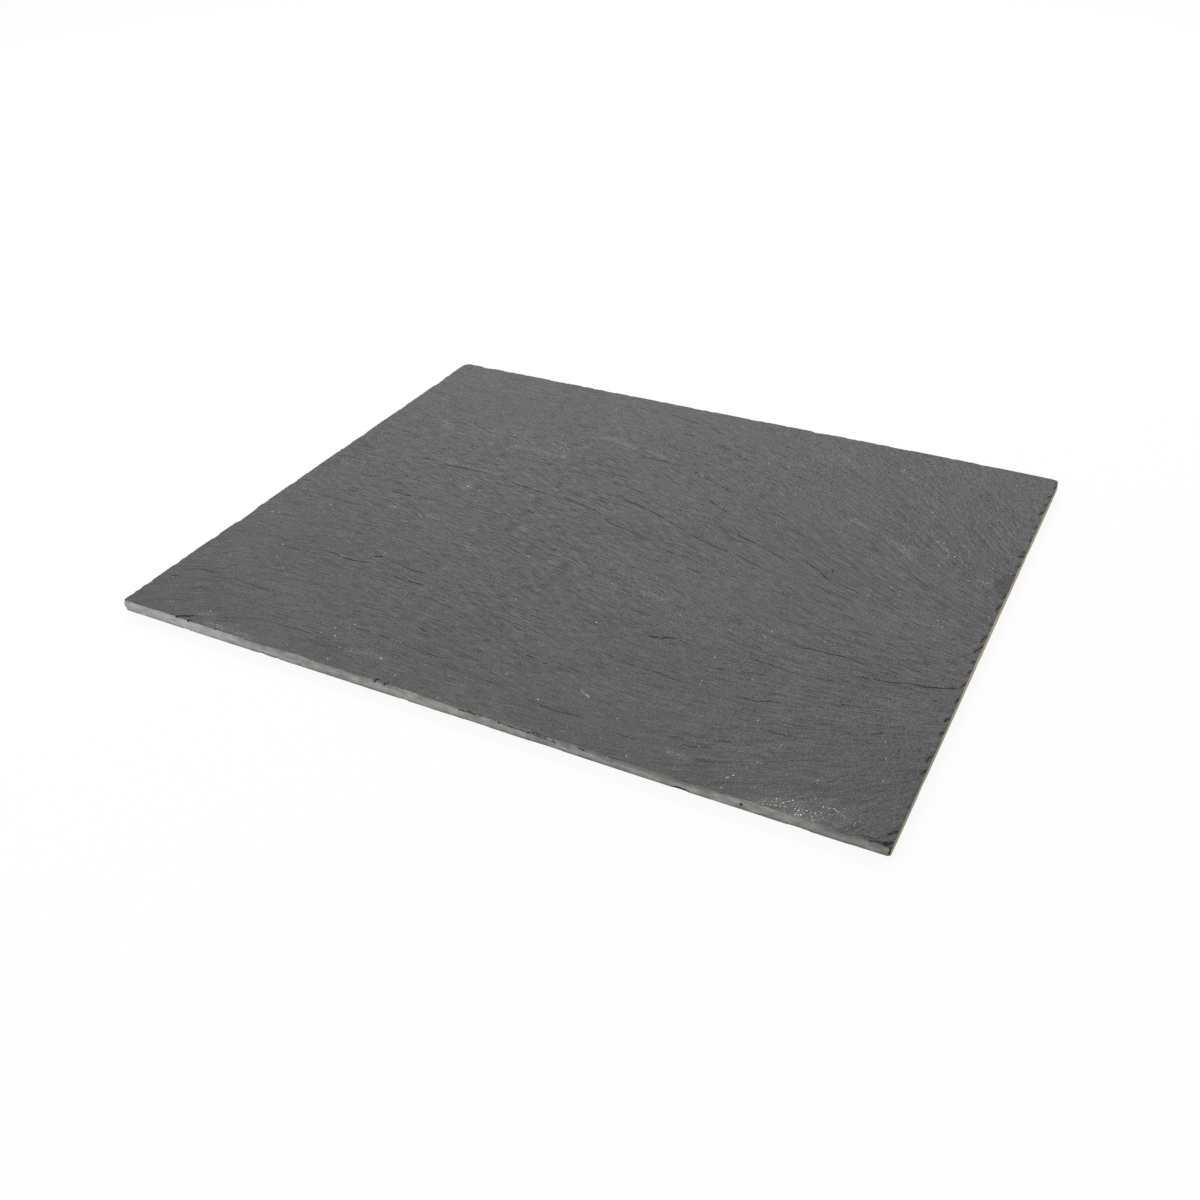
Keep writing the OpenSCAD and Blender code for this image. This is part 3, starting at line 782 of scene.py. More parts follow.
def side_places(x, y):
    """For each side, how far along it a point lies and how far in from it."""
    return {
        "front": (x, y + HALF_D),
        "right": (y, HALF_L - x),
        "back": (x, HALF_D - y),
        "left": (y, x + HALF_L),
    }


def hook_shadow_lines():
    """The painted shadow line of the step of each larger scar on the right side, from its near end along and
    out to its far end.
    """
    lines = []
    for place, half, reach, _, _ in TOP_CHIPS["right"]:
        if reach > HOOKED_REACH:
            shares = zip(HOOK_ALONG_SHARES, HOOK_INWARD_SHARES)
            points = [(HALF_L - reach * inward, place + half * along) for along, inward in shares]
            lines.append((HOOK_THIN + HOOK_THICKER * reach, points))
    return lines


def small_nicks(side, share, seed):
    """Chips too small to have been read off one by one, strewn along a side by chance."""
    rng = np.random.default_rng(seed)
    half = (HALF_L if side in ("front", "back") else HALF_D) - NICK_MARGIN
    places = rng.uniform(-half, half, NICKS_PER_SIDE)
    sizes = rng.uniform(*NICK_SIZES, NICKS_PER_SIDE) * share
    reaches, depths = (start + rise * sizes for start, rise in (NICK_REACH, NICK_DEPTH))
    return list(zip(places, sizes, reaches, depths, np.zeros(NICKS_PER_SIDE)))


def chip_drop(x, y, chips, nick_share, seed):
    """Depth of the chips at a point, and the distance in from the rim of the chip that it lies in.

    A chip is half an oval: p = 1 - (along / half length) squared - (in / reach) squared. It drops part of its
    depth just inside its rim and the rest in step with p.
    """
    drop = np.zeros(x.shape)
    rim = np.full(x.shape, NO_RIM)
    for number, (side, (along, inward)) in enumerate(side_places(x, y).items()):
        wear = lattice_noise(along / CHIP_WEAR_L, inward / CHIP_WEAR_L, seed + CHIP_WEAR_SEED + number)
        for place, half, reach, depth, slant in chips[side] + small_nicks(side, nick_share, seed + number):
            p = 1 - ((along - place - slant * inward) / half) ** 2 - (inward / reach) ** 2 + CHIP_WEAR * wear
            fall = CHIP_STEP * smooth_step(0, CHIP_STEP_RUN, p) + (1 - CHIP_STEP) * np.clip(p, 0, 1)
            drop = np.maximum(drop, depth * fall)
            if depth > DARK_RIM_DEPTH:
                rim = np.maximum(rim, np.clip(p, -1, 1) * min(half, reach) / 2)
    return drop, rim


# The slab's outline

CORNER_R = {"front_left": 1.0, "front_right": 1.2, "back_left": 4.0, "back_right": 3.6}
# The two front corners are worn at their foot: how far in, over what distance and what height
WORN_IN = {"left": 1.5, "right": 0.1}
WORN_REACH = 2.4
WORN_HEIGHT = 2.8
# How far in from the side the wavering of its arris is felt
WAVE_REACH = 4.0
# Which way is inwards from each side
INWARDS = {"front": (0, 1), "right": (-1, 0), "back": (0, -1), "left": (1, 0)}


def rounded_corners(x, y):
    """Rounds each corner: in its square of side r, u becomes u root (1 - v squared / 2), and v likewise."""
    for name, radius in CORNER_R.items():
        sign_x = 1 if name.endswith("right") else -1
        sign_y = 1 if name.startswith("back") else -1
        u = (sign_x * x - HALF_L) / radius + 1
        v = (sign_y * y - HALF_D) / radius + 1
        inside = (u > 0) & (v > 0)
        u, v = np.clip(u, 0, 1), np.clip(v, 0, 1)
        new_x = sign_x * (HALF_L + radius * (u * np.sqrt(1 - v * v / 2) - 1))
        new_y = sign_y * (HALF_D + radius * (v * np.sqrt(1 - u * u / 2) - 1))
        x, y = np.where(inside, new_x, x), np.where(inside, new_y, y)
    return x, y


def worn_corners(points):
    """Draws the lower front corners in: most at the corner's foot, fading evenly away from it and up."""
    x, y, height = points[:, 0], points[:, 1], points[:, 2] - SLAB_BASE
    for sign, side in ((1, "left"), (-1, "right")):
        away = np.hypot(sign * x + HALF_L, y + HALF_D)
        share = np.clip(1 - away / WORN_REACH, 0, 1) * smooth_step(0, 1, 1 - height / WORN_HEIGHT)
        x = x + sign * WORN_IN[side] * share
    return np.stack([x, y, points[:, 2]], axis=-1)


# How far each arris lies in from the straight side on the average: place along the side, distance
SET_IN = {
    "front": [
        (-162, 1.3), (-145, 1.15), (-125, 0.5), (-110, 0.5), (-90, 1), (-60, 1), (-30, 1.1), (0, 1.2),
        (30, 0.9), (60, 0.7), (90, 0.2), (120, 0.9), (150, 0.5),
    ],
    "right": [(0, 0.17)],
    "back": [(122, 0.28), (162, 1.3)],
    "left": [(0, 0.25)],
}
# Waves that the distance is multiplied by the sum of: length, weight
SET_IN_WAVES = [(24, 0.95), (6.5, 0.95), (1.3, 0.04)]
SIDE_SEED_STEP = 10
# The row of the noise that a wave along a line follows
NOISE_ROW = 0.5


def along_side(table, side, along):
    """Value at each place along a side, from its row of (place, value). A side without a row has 0."""
    return np.interp(along, *zip(*table.get(side, [(0, 0)])))


def set_in(side, along, seed):
    """How far the arris lies in from the straight side: its average times a slow, a short and a fine wave."""
    row = np.full_like(along, NOISE_ROW)
    waves = sum(
        weight * unit_noise(along / length, row, seed + number)
        for number, (length, weight) in enumerate(SET_IN_WAVES)
    )
    return along_side(SET_IN, side, along) * waves


def outline_moved(x, y, seed, strength):
    """Draws points near a side inwards with its wavering arris, fading as (1 - in / reach) squared."""
    new_x, new_y = x, y
    for number, (side, (along, inward)) in enumerate(side_places(x, y).items()):
        shift = strength * set_in(side, along, seed + SIDE_SEED_STEP * number)
        shift = shift * np.clip(1 - inward / WAVE_REACH, 0, 1) ** 2
        in_x, in_y = INWARDS[side]
        new_x, new_y = new_x + in_x * shift, new_y + in_y * shift
    return new_x, new_y


# The slab's mesh

# Lattice cells along and across, the finer ones at each rim, and the average round the rim
CELLS_ALONG, CELLS_DEEP = 496, 404
RIM_CELLS, RIM_CELL = 8, 0.5
MEAN_RIM_CELL = 0.66
# Rings of cells from the rim inwards: how many, and the cells' size in lattice cells
THE_REST = 10 ** 6
TOP_BANDS = [(RIM_CELLS, 1), (THE_REST, 2)]
UNDER_BANDS = [(2, 1), (1, 2), (THE_REST, 4)]
SLAB_SHARP_ANGLE = 40

# Rings of the wall, by their share of the way down, and how fast they reach the sawn side
WALL_SHARES = (0.035, 0.10, 0.20, 0.34, 0.50, 0.66, 0.80, 0.90, 0.97)
LEAN_POWER = 4
# Dents of the wall: depth, length, how they shift from ring to ring, and how near a side a point must lie
WALL_DENT, DENT_L = 0.015, 3.2
DENT_SHIFT, DENT_ROW_STEP = 0.5, 0.9
DENT_EDGE = 3.0
# How near the front side its own marks show, and how far down a side the top's cracks run, as a share
FRONT_EDGE = 1.0
TOP_CRACK_SHARE = 0.15

# Layers of relief: length along the grain, width across it, depth
RELIEF_LAYERS = [(64, 10, 0.10), (30, 4.8, 0.035), (15, 2.6, 0.012)]
# The broad undulation: depth, length, width
BROAD_DEPTH, BROAD_L, BROAD_W = 0.12, 90, 70
RELIEF_SEED_STEP = 2
# The ledge on the right of a crack: depth, how fast it runs out, and the half widths over which it sets in
LEDGE_DEPTH, LEDGE_RUN = 0.12, 7.0
LEDGE_ONSET = (-0.1, 0.2)
# The underside's wavering and relief, as shares of the top's, and the flat round each foot's middle
UNDER_WAVE_SHARE, UNDER_RELIEF = 0.12, 0.3
FOOT_FLAT_R, FOOT_FLAT_FADE = 8.0, 8.0
# What stands for a line's distance where there is none, and for a wall's finish off the walls
FAR_OFF = -50.0
NOT_A_WALL = (-2.0, 0.0, 0.0)


def lattice_lines(cells, length):
    """Places of the lattice lines along one side: fine cells at both rims, and wider even ones between."""
    rim = np.arange(RIM_CELLS) * RIM_CELL
    middle = np.linspace(RIM_CELLS * RIM_CELL, length - RIM_CELLS * RIM_CELL, cells - 2 * RIM_CELLS + 1)
    return np.concatenate([rim, middle, length - rim[::-1]]) - length / 2


def nested_cells(bands):
    """Faces of a sheet on the lattice, as point numbers, in groups with the same number of corners.

    Each band is so many rings of cells of one size, from the rim inwards. A cell twice the size of its outer
    neighbours has one more point in the middle of that side, so the sheet has no gaps.
    """
    groups = []
    rim = 0
    for rings, size in bands:
        columns = (CELLS_ALONG - 2 * rim) // size
        rows = (CELLS_DEEP - 2 * rim) // size
        i, j = np.meshgrid(np.arange(columns), np.arange(rows), indexing="ij")
        kept = np.minimum.reduce([i, j, columns - 1 - i, rows - 1 - j]) < rings
        i, j = i[kept], j[kept]
        half = size // 2
        around = [
            (0, 0), (half, 0), (size, 0), (size, half), (size, size), (half, size), (0, size), (0, half),
        ]
        numbers = [rim + i * size + a + (rim + j * size + b) * (CELLS_ALONG + 1) for a, b in around]
        used = np.ones((len(i), len(around)), bool)
        used[:, 1::2] = np.stack([j == 0, i == columns - 1, j == rows - 1, i == 0], axis=1) & (rim > 0)
        numbers = np.stack(numbers, axis=1)
        for corners in (4, 5, 6):
            chosen = used.sum(axis=1) == corners
            if chosen.any():
                groups.append(numbers[chosen][used[chosen]].reshape(-1, corners))
        rim += min(rings, columns) * size
    return groups


def rim_numbers():
    """Lattice points round the rim, anticlockwise seen from above."""
    row = CELLS_ALONG + 1
    return np.concatenate([
        np.arange(CELLS_ALONG),
        CELLS_ALONG + row * np.arange(CELLS_DEEP),
        row * CELLS_DEEP + np.arange(CELLS_ALONG, 0, -1),
        row * np.arange(CELLS_DEEP, 0, -1),
    ])


def riven_depth(flow, x, y, seed):
    """Depth below the highest leaf: layers of noise along the grain and one broad undulation without one."""
    depth = BROAD_DEPTH * unit_noise(x / BROAD_L, y / BROAD_W, seed)
    for number, (length, width, deep) in enumerate(RELIEF_LAYERS, 1):
        noise = grain_noise(flow, length, width, seed + RELIEF_SEED_STEP * number)
        depth += deep * (0.5 + 0.5 * np.clip(noise, -1, 1))
    return depth


def top_sheet(x, y):
    """The top face's points, with its cracks' ledges and chipped arris, and what its finish needs to know."""
    flow = grain_flow(x, y)
    crack, crack_half, crack_near = nearest_line(x, y, CRACKS + hook_shadow_lines())
    mark, mark_half, _ = nearest_line(x, y, SCRATCHES)
    below = np.where(crack < 0, np.exp(-crack_near / LEDGE_RUN), 0)
    ledge = LEDGE_DEPTH * below * smooth_step(*LEDGE_ONSET, crack_half)
    drop, rim = chip_drop(x, y, TOP_CHIPS, 1.0, SEEDS["top chips"])
    rim = np.maximum(rim, dark_patches(x, y))
    height = SLAB_TOP - riven_depth(flow, x, y, SEEDS["top relief"]) - ledge - drop
    return {
        "place": np.stack([x, y, height], axis=-1),
        "grain_flow": flow,
        "crack": np.stack([crack, crack_half, rim], axis=-1),
        "mark": np.stack([mark, mark_half, fleck_share(x, y)], axis=-1),
        "fleck": nearest_fleck(x, y),
    }


def under_sheet(x, y):
    """The underside's points: riven too, but flat where the feet are stuck on, and without lines."""
    flow = grain_flow(x, -y)
    flat = np.ones(x.shape)
    for corner in CORNER_R:
        middle = sum(box_mm(corner + "_adhesive")) / 2
        away = np.hypot(x - middle[0], y - middle[1])
        flat = np.minimum(flat, smooth_step(FOOT_FLAT_R, FOOT_FLAT_R + FOOT_FLAT_FADE, away))
    drop, rim = chip_drop(x, y, UNDER_CHIPS, UNDER_NICK_SHARE, SEEDS["under chips"])
    height = SLAB_BASE + UNDER_RELIEF * riven_depth(flow, x, y, SEEDS["under relief"]) * flat + drop
    far, none = np.full(x.shape, FAR_OFF), np.full(x.shape, OFF_LINE)
    return {
        "place": np.stack([x, y, height], axis=-1),
        "grain_flow": flow,
        "crack": np.stack([far, none, rim], axis=-1),
        "mark": np.stack([far, none, fleck_share(x, -y)], axis=-1),
        "fleck": np.stack([far, far, none], axis=-1),
    }


# How far down the flaked, dark part of each side reaches, its raggedness, and the two waves of that
FLAKED_DEPTH = {
    "front": [(0, -0.2)],
    "right": [
        (-130, 1.4), (-60, 1.4), (-40, 0.9), (-15, 0.4), (40, 0.5), (60, 0.9), (100, 0.5), (118, 1.5),
    ],
    "back": [(0, 0.7)],
    "left": [(0, 0.6)],
}
FLAKED_RAGGED = {"front": 0.12, "right": 0.4, "back": 0.55, "left": 0.5}
FLAKED_L, FLAKED_FINE_L, FLAKED_FINE_SHARE = 5.0, 1.6, 0.5
# It reaches at least this far below the arris
ARRIS_LIP = 0.05
# How pale the sawn stone is along each side, from 0 to 1, and along the front partly painted shade of the
# light falling off to the right; how much painted shade darkens it near its top; and how warm it is
SAWN_TONE_AND_SHADE = {
    "front": [
        (-160, 0.66), (-140, 0.7), (-120, 0.92), (-100, 0.66), (-84, 0.5), (-60, 0.5), (-20, 0.5),
        (0, 0.44), (25, 0.42), (45, 0.42), (70, 0.46), (100, 0.46), (120, 0.4), (145, 0.24), (162, 0.1),
    ],
    "right": [(-130, 0.5), (-60, 0.75), (-10, 0.9), (60, 0.76)],
    "back": [(0, 0.6)],
    "left": [(0, 0.75)],
}
UPPER_PAINTED_SHADE = {
    "front": [
        (-160, -0.25), (-110, -0.1), (-90, 0.3), (-70, 0.1), (10, 0.1), (25, 0.45), (60, 0.7), (90, 0.9),
        (112, 0.1), (125, 0.05), (150, 0.35),
    ],
}
SAWN_WARMTH = {
    "front": [
        (-90, 0), (-50, 0.06), (-15, 0.12), (15, 0.06), (40, 0), (80, 0.08), (120, 0.1), (145, 0.05),
    ],
    "right": [(0, 1)],
    "back": [(0, 0.12)],
    "left": [(0, 0.2)],
}
# How far down the painted band of shade below the top fades out, where the painted shade at the foot starts,
# and how dark it is
UPPER_DEPTH = 2.6
FOOT_DEPTH, FOOT_PAINTED_SHADE = 3.1, 0.55


def wall_finish(place, arris_depth):
    """For points on a side: how far below the flaked part they lie, how pale they are painted, and how warm.

    It is painted darker, as shade, in a band below the top and again at its foot.
    """
    places = side_places(place[:, 0], place[:, 1])
    side = np.argmin([inward for _, inward in places.values()], axis=0)
    down = SLAB_TOP - place[:, 2]
    upper = 1 - smooth_step(0, UPPER_DEPTH, down)
    foot = smooth_step(FOOT_DEPTH, BOARD_T, down)
    per_side = []
    for name, (along, _) in places.items():
        wave = lattice_noise(along / FLAKED_L, side + NOISE_ROW, SEEDS["flaked depth"])
        fine = lattice_noise(along / FLAKED_FINE_L, side, SEEDS["flaked depth"] + 1)
        ragged = FLAKED_RAGGED[name] * (wave + FLAKED_FINE_SHARE * fine)
        limit = np.maximum(along_side(FLAKED_DEPTH, name, along) + ragged, arris_depth + ARRIS_LIP)
        tone, upper_shade, warmth = (along_side(part, name, along) for part in (SAWN_TONE_AND_SHADE, UPPER_PAINTED_SHADE, SAWN_WARMTH))
        per_side.append([down - limit, tone - upper_shade * upper - FOOT_PAINTED_SHADE * foot, warmth])
    return np.array([np.choose(side, values) for values in zip(*per_side)]).T


def wall_cracks(place, from_top, share):
    """Cracks of the top run a little way down the sides. Below them are the front side's own marks."""
    signed, half_width, _ = nearest_line(place[:, 0], place[:, 2] - SLAB_BASE, WALL_MARKS)
    half_width = np.where(place[:, 1] < FRONT_EDGE - HALF_D, half_width, OFF_LINE)
    down = (from_top[:, 1] > half_width) & (share < TOP_CRACK_SHARE)
    return np.where(down, from_top[:, 0], signed), np.where(down, from_top[:, 1], half_width)


def wall_ring(top, under, share, number):
    """One ring of the sides between the two rims: drawn out to the sawn side below the arris, and dented."""
    lean = 1 - (1 - share) ** LEAN_POWER
    place = top["place"] * (1 - lean) + under["place"] * lean
    place[:, 2] = top["place"][:, 2] * (1 - share) + under["place"][:, 2] * share
    travel = np.arange(len(place)) * MEAN_RIM_CELL
    row = np.full(len(place), DENT_ROW_STEP * number)
    dent = WALL_DENT * unit_noise(travel / DENT_L + DENT_SHIFT * number, row, SEEDS["wall dents"])
    dent = dent * math.sqrt(math.sin(math.pi * share))
    for axis, half in ((0, HALF_L), (1, HALF_D)):
        place[:, axis] -= np.sign(place[:, axis]) * dent * (np.abs(place[:, axis]) > half - DENT_EDGE)
    ring = {name: values.copy() for name, values in top.items()}
    ring["place"] = worn_corners(place)
    ring["crack"][:, 2] = top["crack"][:, 2] * (1 - share) + under["crack"][:, 2] * share
    ring["crack"][:, 0], ring["crack"][:, 1] = wall_cracks(place, top["crack"], share)
    ring["mark"][:, 1] = OFF_LINE
    return ring


def made_sheet(bands, sheet, seed, strength):
    """A sheet's points and what its finish needs to know, its faces, and the numbers of its rim's points."""
    lines_x, lines_y = lattice_lines(CELLS_ALONG, BOARD_L), lattice_lines(CELLS_DEEP, BOARD_D)
    grid_y, grid_x = np.meshgrid(lines_y, lines_x, indexing="ij")
    faces = nested_cells(bands)
    used = np.unique(np.concatenate([group.ravel() for group in faces]))
    new_number = np.zeros(grid_x.size, int)
    new_number[used] = np.arange(len(used))
    x, y = rounded_corners(grid_x.ravel()[used], grid_y.ravel()[used])
    x, y = outline_moved(x, y, seed, strength)
    return sheet(x, y), [new_number[group] for group in faces], new_number[rim_numbers()]


def add_slab():
    """The slab: a fine top sheet, a coarser under sheet and rings of wall between, as one closed mesh."""
    top, top_faces, top_rim = made_sheet(TOP_BANDS, top_sheet, SEEDS["top outline"], 1.0)
    under, under_faces, under_rim = made_sheet(
        UNDER_BANDS, under_sheet, SEEDS["under outline"], UNDER_WAVE_SHARE,
    )
    rim_of_top = {name: values[top_rim] for name, values in top.items()}
    rim_of_under = {name: values[under_rim] for name, values in under.items()}
    rings = [wall_ring(rim_of_top, rim_of_under, share, number) for number, share in enumerate(WALL_SHARES)]
    lowest = wall_ring(rim_of_top, rim_of_under, 1.0, len(rings))
    under["crack"][under_rim, :2] = lowest["crack"][:, :2]
    under["place"] = worn_corners(under["place"])

    arris_depth = SLAB_TOP - rim_of_top["place"][:, 2]
    for sheet, rim in ((top, top_rim), (under, under_rim)):
        sheet["wall"] = np.full(sheet["place"].shape, NOT_A_WALL)
        sheet["wall"][rim] = wall_finish(sheet["place"][rim], arris_depth)
    for ring in rings:
        ring["wall"] = wall_finish(ring["place"], arris_depth)

    under_start = len(top["place"])
    wall_start = under_start + len(under["place"])
    ring_numbers = wall_start + np.arange(len(rings) * len(top_rim)).reshape(len(rings), -1)
    loops = [top_rim, *ring_numbers, under_start + under_rim]
    side_faces = [
        np.stack([upper, lower, np.roll(lower, -1), np.roll(upper, -1)], axis=1)
        for upper, lower in zip(loops[:-1], loops[1:])
    ]
    faces = top_faces + [under_start + group[:, ::-1] for group in under_faces] + side_faces
    parts = {name: np.concatenate([part[name] for part in (top, under, *rings)]) for name in top}
    points = np.clip(parts.pop("place"), SLAB_LOW, SLAB_HIGH)
    material = material_of(riven_slate)
    add_piece("riven_slab", points, faces, material, "slate_slab", parts, SLAB_SHARP_ANGLE)


# Slate

SLATE_DARK, SLATE_PALE = "#363636", "#757575"
SAWN_DARK, SAWN_PALE = "#747473", "#b0b0ae"
WARM_DARK, WARM_PALE = "#96866c", "#c8b99f"
# Painted shade inside the scars of the arris, the darker stone of the dark patches, and the sawn sides' dark
# grains
SCAR_SHADOW_AND_DARK_STONE = "#3b3b3b"
# Painted shadow along the steps of cracks, scars and leaf edges, and in the front side's small chips and pits
PAINTED_LINE_SHADOW = "#161616"
FLECK_SHADE = "#d2d2ce"
FRINGE_SHADE = "#6e6255"
SLATE_SPECULAR = 0.12
SLATE_ROUGH, ROUGH_SPREAD = 0.62, 0.2

# Patterns along the grain in millimetres: length, width, share of the shade, height. Their colour is partly
# the stone's own streaks and partly painted shade of its fine relief
GRAIN_PATTERNS = [
    (6.5, 0.34, 2.3, 0.028),
    (26.0, 0.52, 0.85, 0.034),
    (48.0, 1.1, 0.22, 0.028),
    (46.0, 4.5, 0.08, 0.022),
]
GRAIN_NOISE_ROUGHNESS = 0.55
# How far apart in the noise the patterns start, and the line widths of one pattern
PATTERN_APART, LEVEL_STEP = 10, 4.3
# Painted glints: the finest streaks are painted paler, as a painted sheen, between these values of their
# noise:
# how pale, and what that adds on the average
GLINT_LOW, GLINT_HIGH = 0.58, 0.74
GLINT_SHADE, GLINT_MEAN = 0.3, 0.03
# The streaks stand out most near the middle of the board: the middle and half sizes of an oval, distances
# from the middle as shares of it, and the strengths there
STREAK_MIDDLE = (-22.0, 20.0)
STREAK_OVAL = (200.0, 140.0)
STREAK_NEAR, STREAK_FAR = 0.35, 1.1
STREAK_STRONG, STREAK_WEAK = 1.12, 0.52
# Noises without a grain: size in millimetres, detail. The real grit is finer. It is drawn this coarse because
# finer grit doesn't show in the picture.
GRIT_NOISE = (0.45, 1.0)
CLOUD_NOISE = (38.0, 2.0)
JITTER_NOISE = (1.5, 2.0)
RAGGED_NOISE = (0.9, 2.0)
# The grit stands out more towards the back, and less where the streaks are strong
GRIT_SHADE = 2.1
GRIT_GIVES_WAY = 0.2
GRIT_PER_METRE_DEEP = 5.5
GRIT_HEIGHT = 0.024
CLOUD_SHADE = 0.18
# The mean shade, and painted light: the top is painted a little darker towards the front and paler towards
# the back, where the lamp behind the board gives it a sheen
MEAN_SHADE = 0.49
PAINTED_SHEEN_PER_METRE_DEEP = 0.4

# Lines where a leaf ends, painted with a line of shadow along its step: length and width of their pattern,
# half width of the line, darkness, step
LEAF_EDGES = [
    (40.0, 2.2, 0.10, 0.36, 0.04),
    (24.0, 1.2, 0.09, 0.26, 0.02),
]
# Where in the noise their patterns start, and how far apart
LEAF_START, LEAF_APART = 60, 7
# How fast a pattern's noise changes across its width
NOISE_SLOPE = 0.5
# They show where another pattern is high: its length and width as shares of theirs, its start, and how high
MASK_LENGTH_SHARE, MASK_WIDTH_SHARE = 0.7, 2.2
MASK_APART = 50
MASK_LOW, MASK_HIGH = 0.5, 0.6

# Cracks, painted as lines of shadow in their step and crevice: how far their edge wobbles, its softness,
# their strength and how deep they look. The thin ones break up where the streaks under them are low: half
# width of the first whole one, streaks there, least share left
CRACK_WOBBLE, CRACK_SOFT, CRACK_STRENGTH, CRACK_DEEP = 1.2, 0.12, 0.9, 0.10
WHOLE_CRACK = 0.37
BREAK_LOW, BREAK_HIGH = 0.42, 0.52
THIN_CRACK = 0.35
# Painted shade inside the scars of the arris, and the darker stone of the dark patches: distances in from
# their rim over which they darken
SCAR_LOW, SCAR_HIGH, SCAR_STRENGTH = -0.02, 0.1, 0.45
# Scratches and single flecks: wobble and softness of their edge, strength
SCRATCH_WOBBLE, SCRATCH_SOFT = 0.16, 0.15
SPOT_WOBBLE, SPOT_SOFT = 0.24, 0.12
MARK_STRENGTH = 0.85
# How pale the stone between a smear's flecks is
SMEAR_PALENESS = 0.03
# Flecks in the cells of a pattern: size of a cell in millimetres, start of the pattern
BRIGHT_CELLS = (1.25, 3.0)
FAINT_CELLS = (0.8, 7.0)
SAWN_CELLS = (1.6, 5.0)
# Their least radius and its spread as shares of a cell, their edge, their least brightness and its spread
FLECK_R, FLECK_R_SPREAD, FLECK_EDGE = 0.09, 0.11, 0.06
FLECK_DIM, FLECK_DIM_SPREAD = 0.3, 0.7
# Faint flecks: their share, how much it rises with the share of white ones, their strength
FAINT_SHARE, FAINT_RISE, FAINT_STRENGTH = 0.22, 2.5, 0.58

# Sawn sides: width and height of each noise in millimetres, its detail and its weight
SAWN_NOISES = [(16.0, 0.35, 2.0, 0.6), (4.5, 1.8, 3.0, 1.5)]
# The weight of the grit there, and the share and strength of the dark grains
SAWN_GRIT = 0.4
DARK_GRAIN_SHARE, DARK_GRAIN_STRENGTH = 0.25, 0.7
# The ragged upper edge of the sawn part: its wobble and where it turns, and the weathered fringe along it
EDGE_WOBBLE = 0.7
EDGE_LOW, EDGE_HIGH = -0.05, 0.08
FRINGE_HALF, FRINGE_SOFT, FRINGE_STRENGTH = 0.22, 0.15, 0.45


def attribute_parts(tree, name):
    """The three numbers of one of the slab's own point attributes."""
    vector = add_node(tree, "Attribute", {}, 1, attribute_name=name)
    return add_node(tree, "SeparateXYZ", {0: vector}, None)


def grain_places(tree):
    """The grain's own places for a pattern at two line widths a power of 2 apart, and their blend.

    A place is (run, line, level), where the level tells the noises of the widths apart.
    """
    run, line, crowding = attribute_parts(tree, "grain_flow")
    level, share = (add_node(tree, "Math", {0: crowding}, operation=part) for part in ("FLOOR", "FRACT"))
    places = []
    for step in (0, 1):
        step_level = added(tree, [(level, 1.0)], step)
        wide = add_node(tree, "Math", {0: 2.0, 1: step_level}, operation="POWER")
        across = add_node(tree, "Math", {0: line, 1: wide}, operation="DIVIDE")
        places.append(add_node(tree, "CombineXYZ", {0: run, 1: across, 2: step_level}))
    return places, share


def grain_pattern(tree, grain, length, width, start, detail=1.0):
    """Noise stretched along the grain, length by width in millimetres, blended between the two widths."""
    places, share = grain
    noises = []
    for place in places:
        scale = (1 / length, 1 / width, LEVEL_STEP)
        scaled = add_node(tree, "Mapping", {"Vector": place, "Location": (0, 0, start), "Scale": scale})
        noises.append(add_node(
            tree, "TexNoise",
            {"Vector": scaled, "Scale": 1.0, "Detail": detail, "Roughness": GRAIN_NOISE_ROUGHNESS},
        ))
    return add_node(tree, "Mix", {0: share, 2: noises[0], 3: noises[1]})


def streak_strength(tree, spot):
    """How strong the streaks are: most in an oval round the board's middle, fading evenly to its corners."""
    scale = [1 / (half * MM) for half in STREAK_OVAL]
    place = [-middle / half for middle, half in zip(STREAK_MIDDLE, STREAK_OVAL)]
    share = add_node(tree, "Mapping", {"Vector": spot, "Location": (*place, 0), "Scale": (*scale, 0)})
    away = add_node(tree, "VectorMath", {0: share}, 1, operation="LENGTH")
    return add_node(tree, "MapRange", {
        "Value": away, "From Min": STREAK_NEAR, "From Max": STREAK_FAR,
        "To Min": STREAK_STRONG, "To Max": STREAK_WEAK,
    })


def line_share(tree, signed, half_width, wobble, soft):
    """1 inside a line: its half width less the distance from it, with a wobble, over a soft edge."""
    bent = added(tree, [(signed, 1.0)], wobble)
    away = add_node(tree, "Math", {0: bent}, operation="ABSOLUTE")
    inside = added(tree, [(away, -1.0)], half_width)
    limits = {"Value": inside, "From Min": 0.0, "From Max": soft}
    return add_node(tree, "MapRange", limits, interpolation_type="SMOOTHSTEP")


def flecks(tree, spot, share, cell, start, dimensions="2D"):
    """Grains of mica and calcite: a round spot in a share of the cells of a pattern."""
    placed = add_node(
        tree, "Mapping", {"Vector": spot, "Location": (start, start, 0), "Scale": (1 / (cell * MM),) * 3},
    )
    cells = add_node(
        tree, "TexVoronoi", {"Vector": placed, "Scale": 1.0}, None, voronoi_dimensions=dimensions,
    )
    for_choice, for_radius, for_light = add_node(tree, "SeparateColor", {0: cells["Color"]}, None)
    picked = add_node(tree, "Math", {0: for_choice, 1: share}, operation="LESS_THAN")
    inside = added(tree, [(for_radius, FLECK_R_SPREAD), (cells["Distance"], -1.0)], FLECK_R)
    spot_share = add_node(tree, "MapRange", {"Value": inside, "From Min": 0.0, "From Max": FLECK_EDGE})
    bright = added(tree, [(for_light, FLECK_DIM_SPREAD)], FLECK_DIM)
    return added(tree, [(added(tree, [(spot_share, picked)]), bright)])


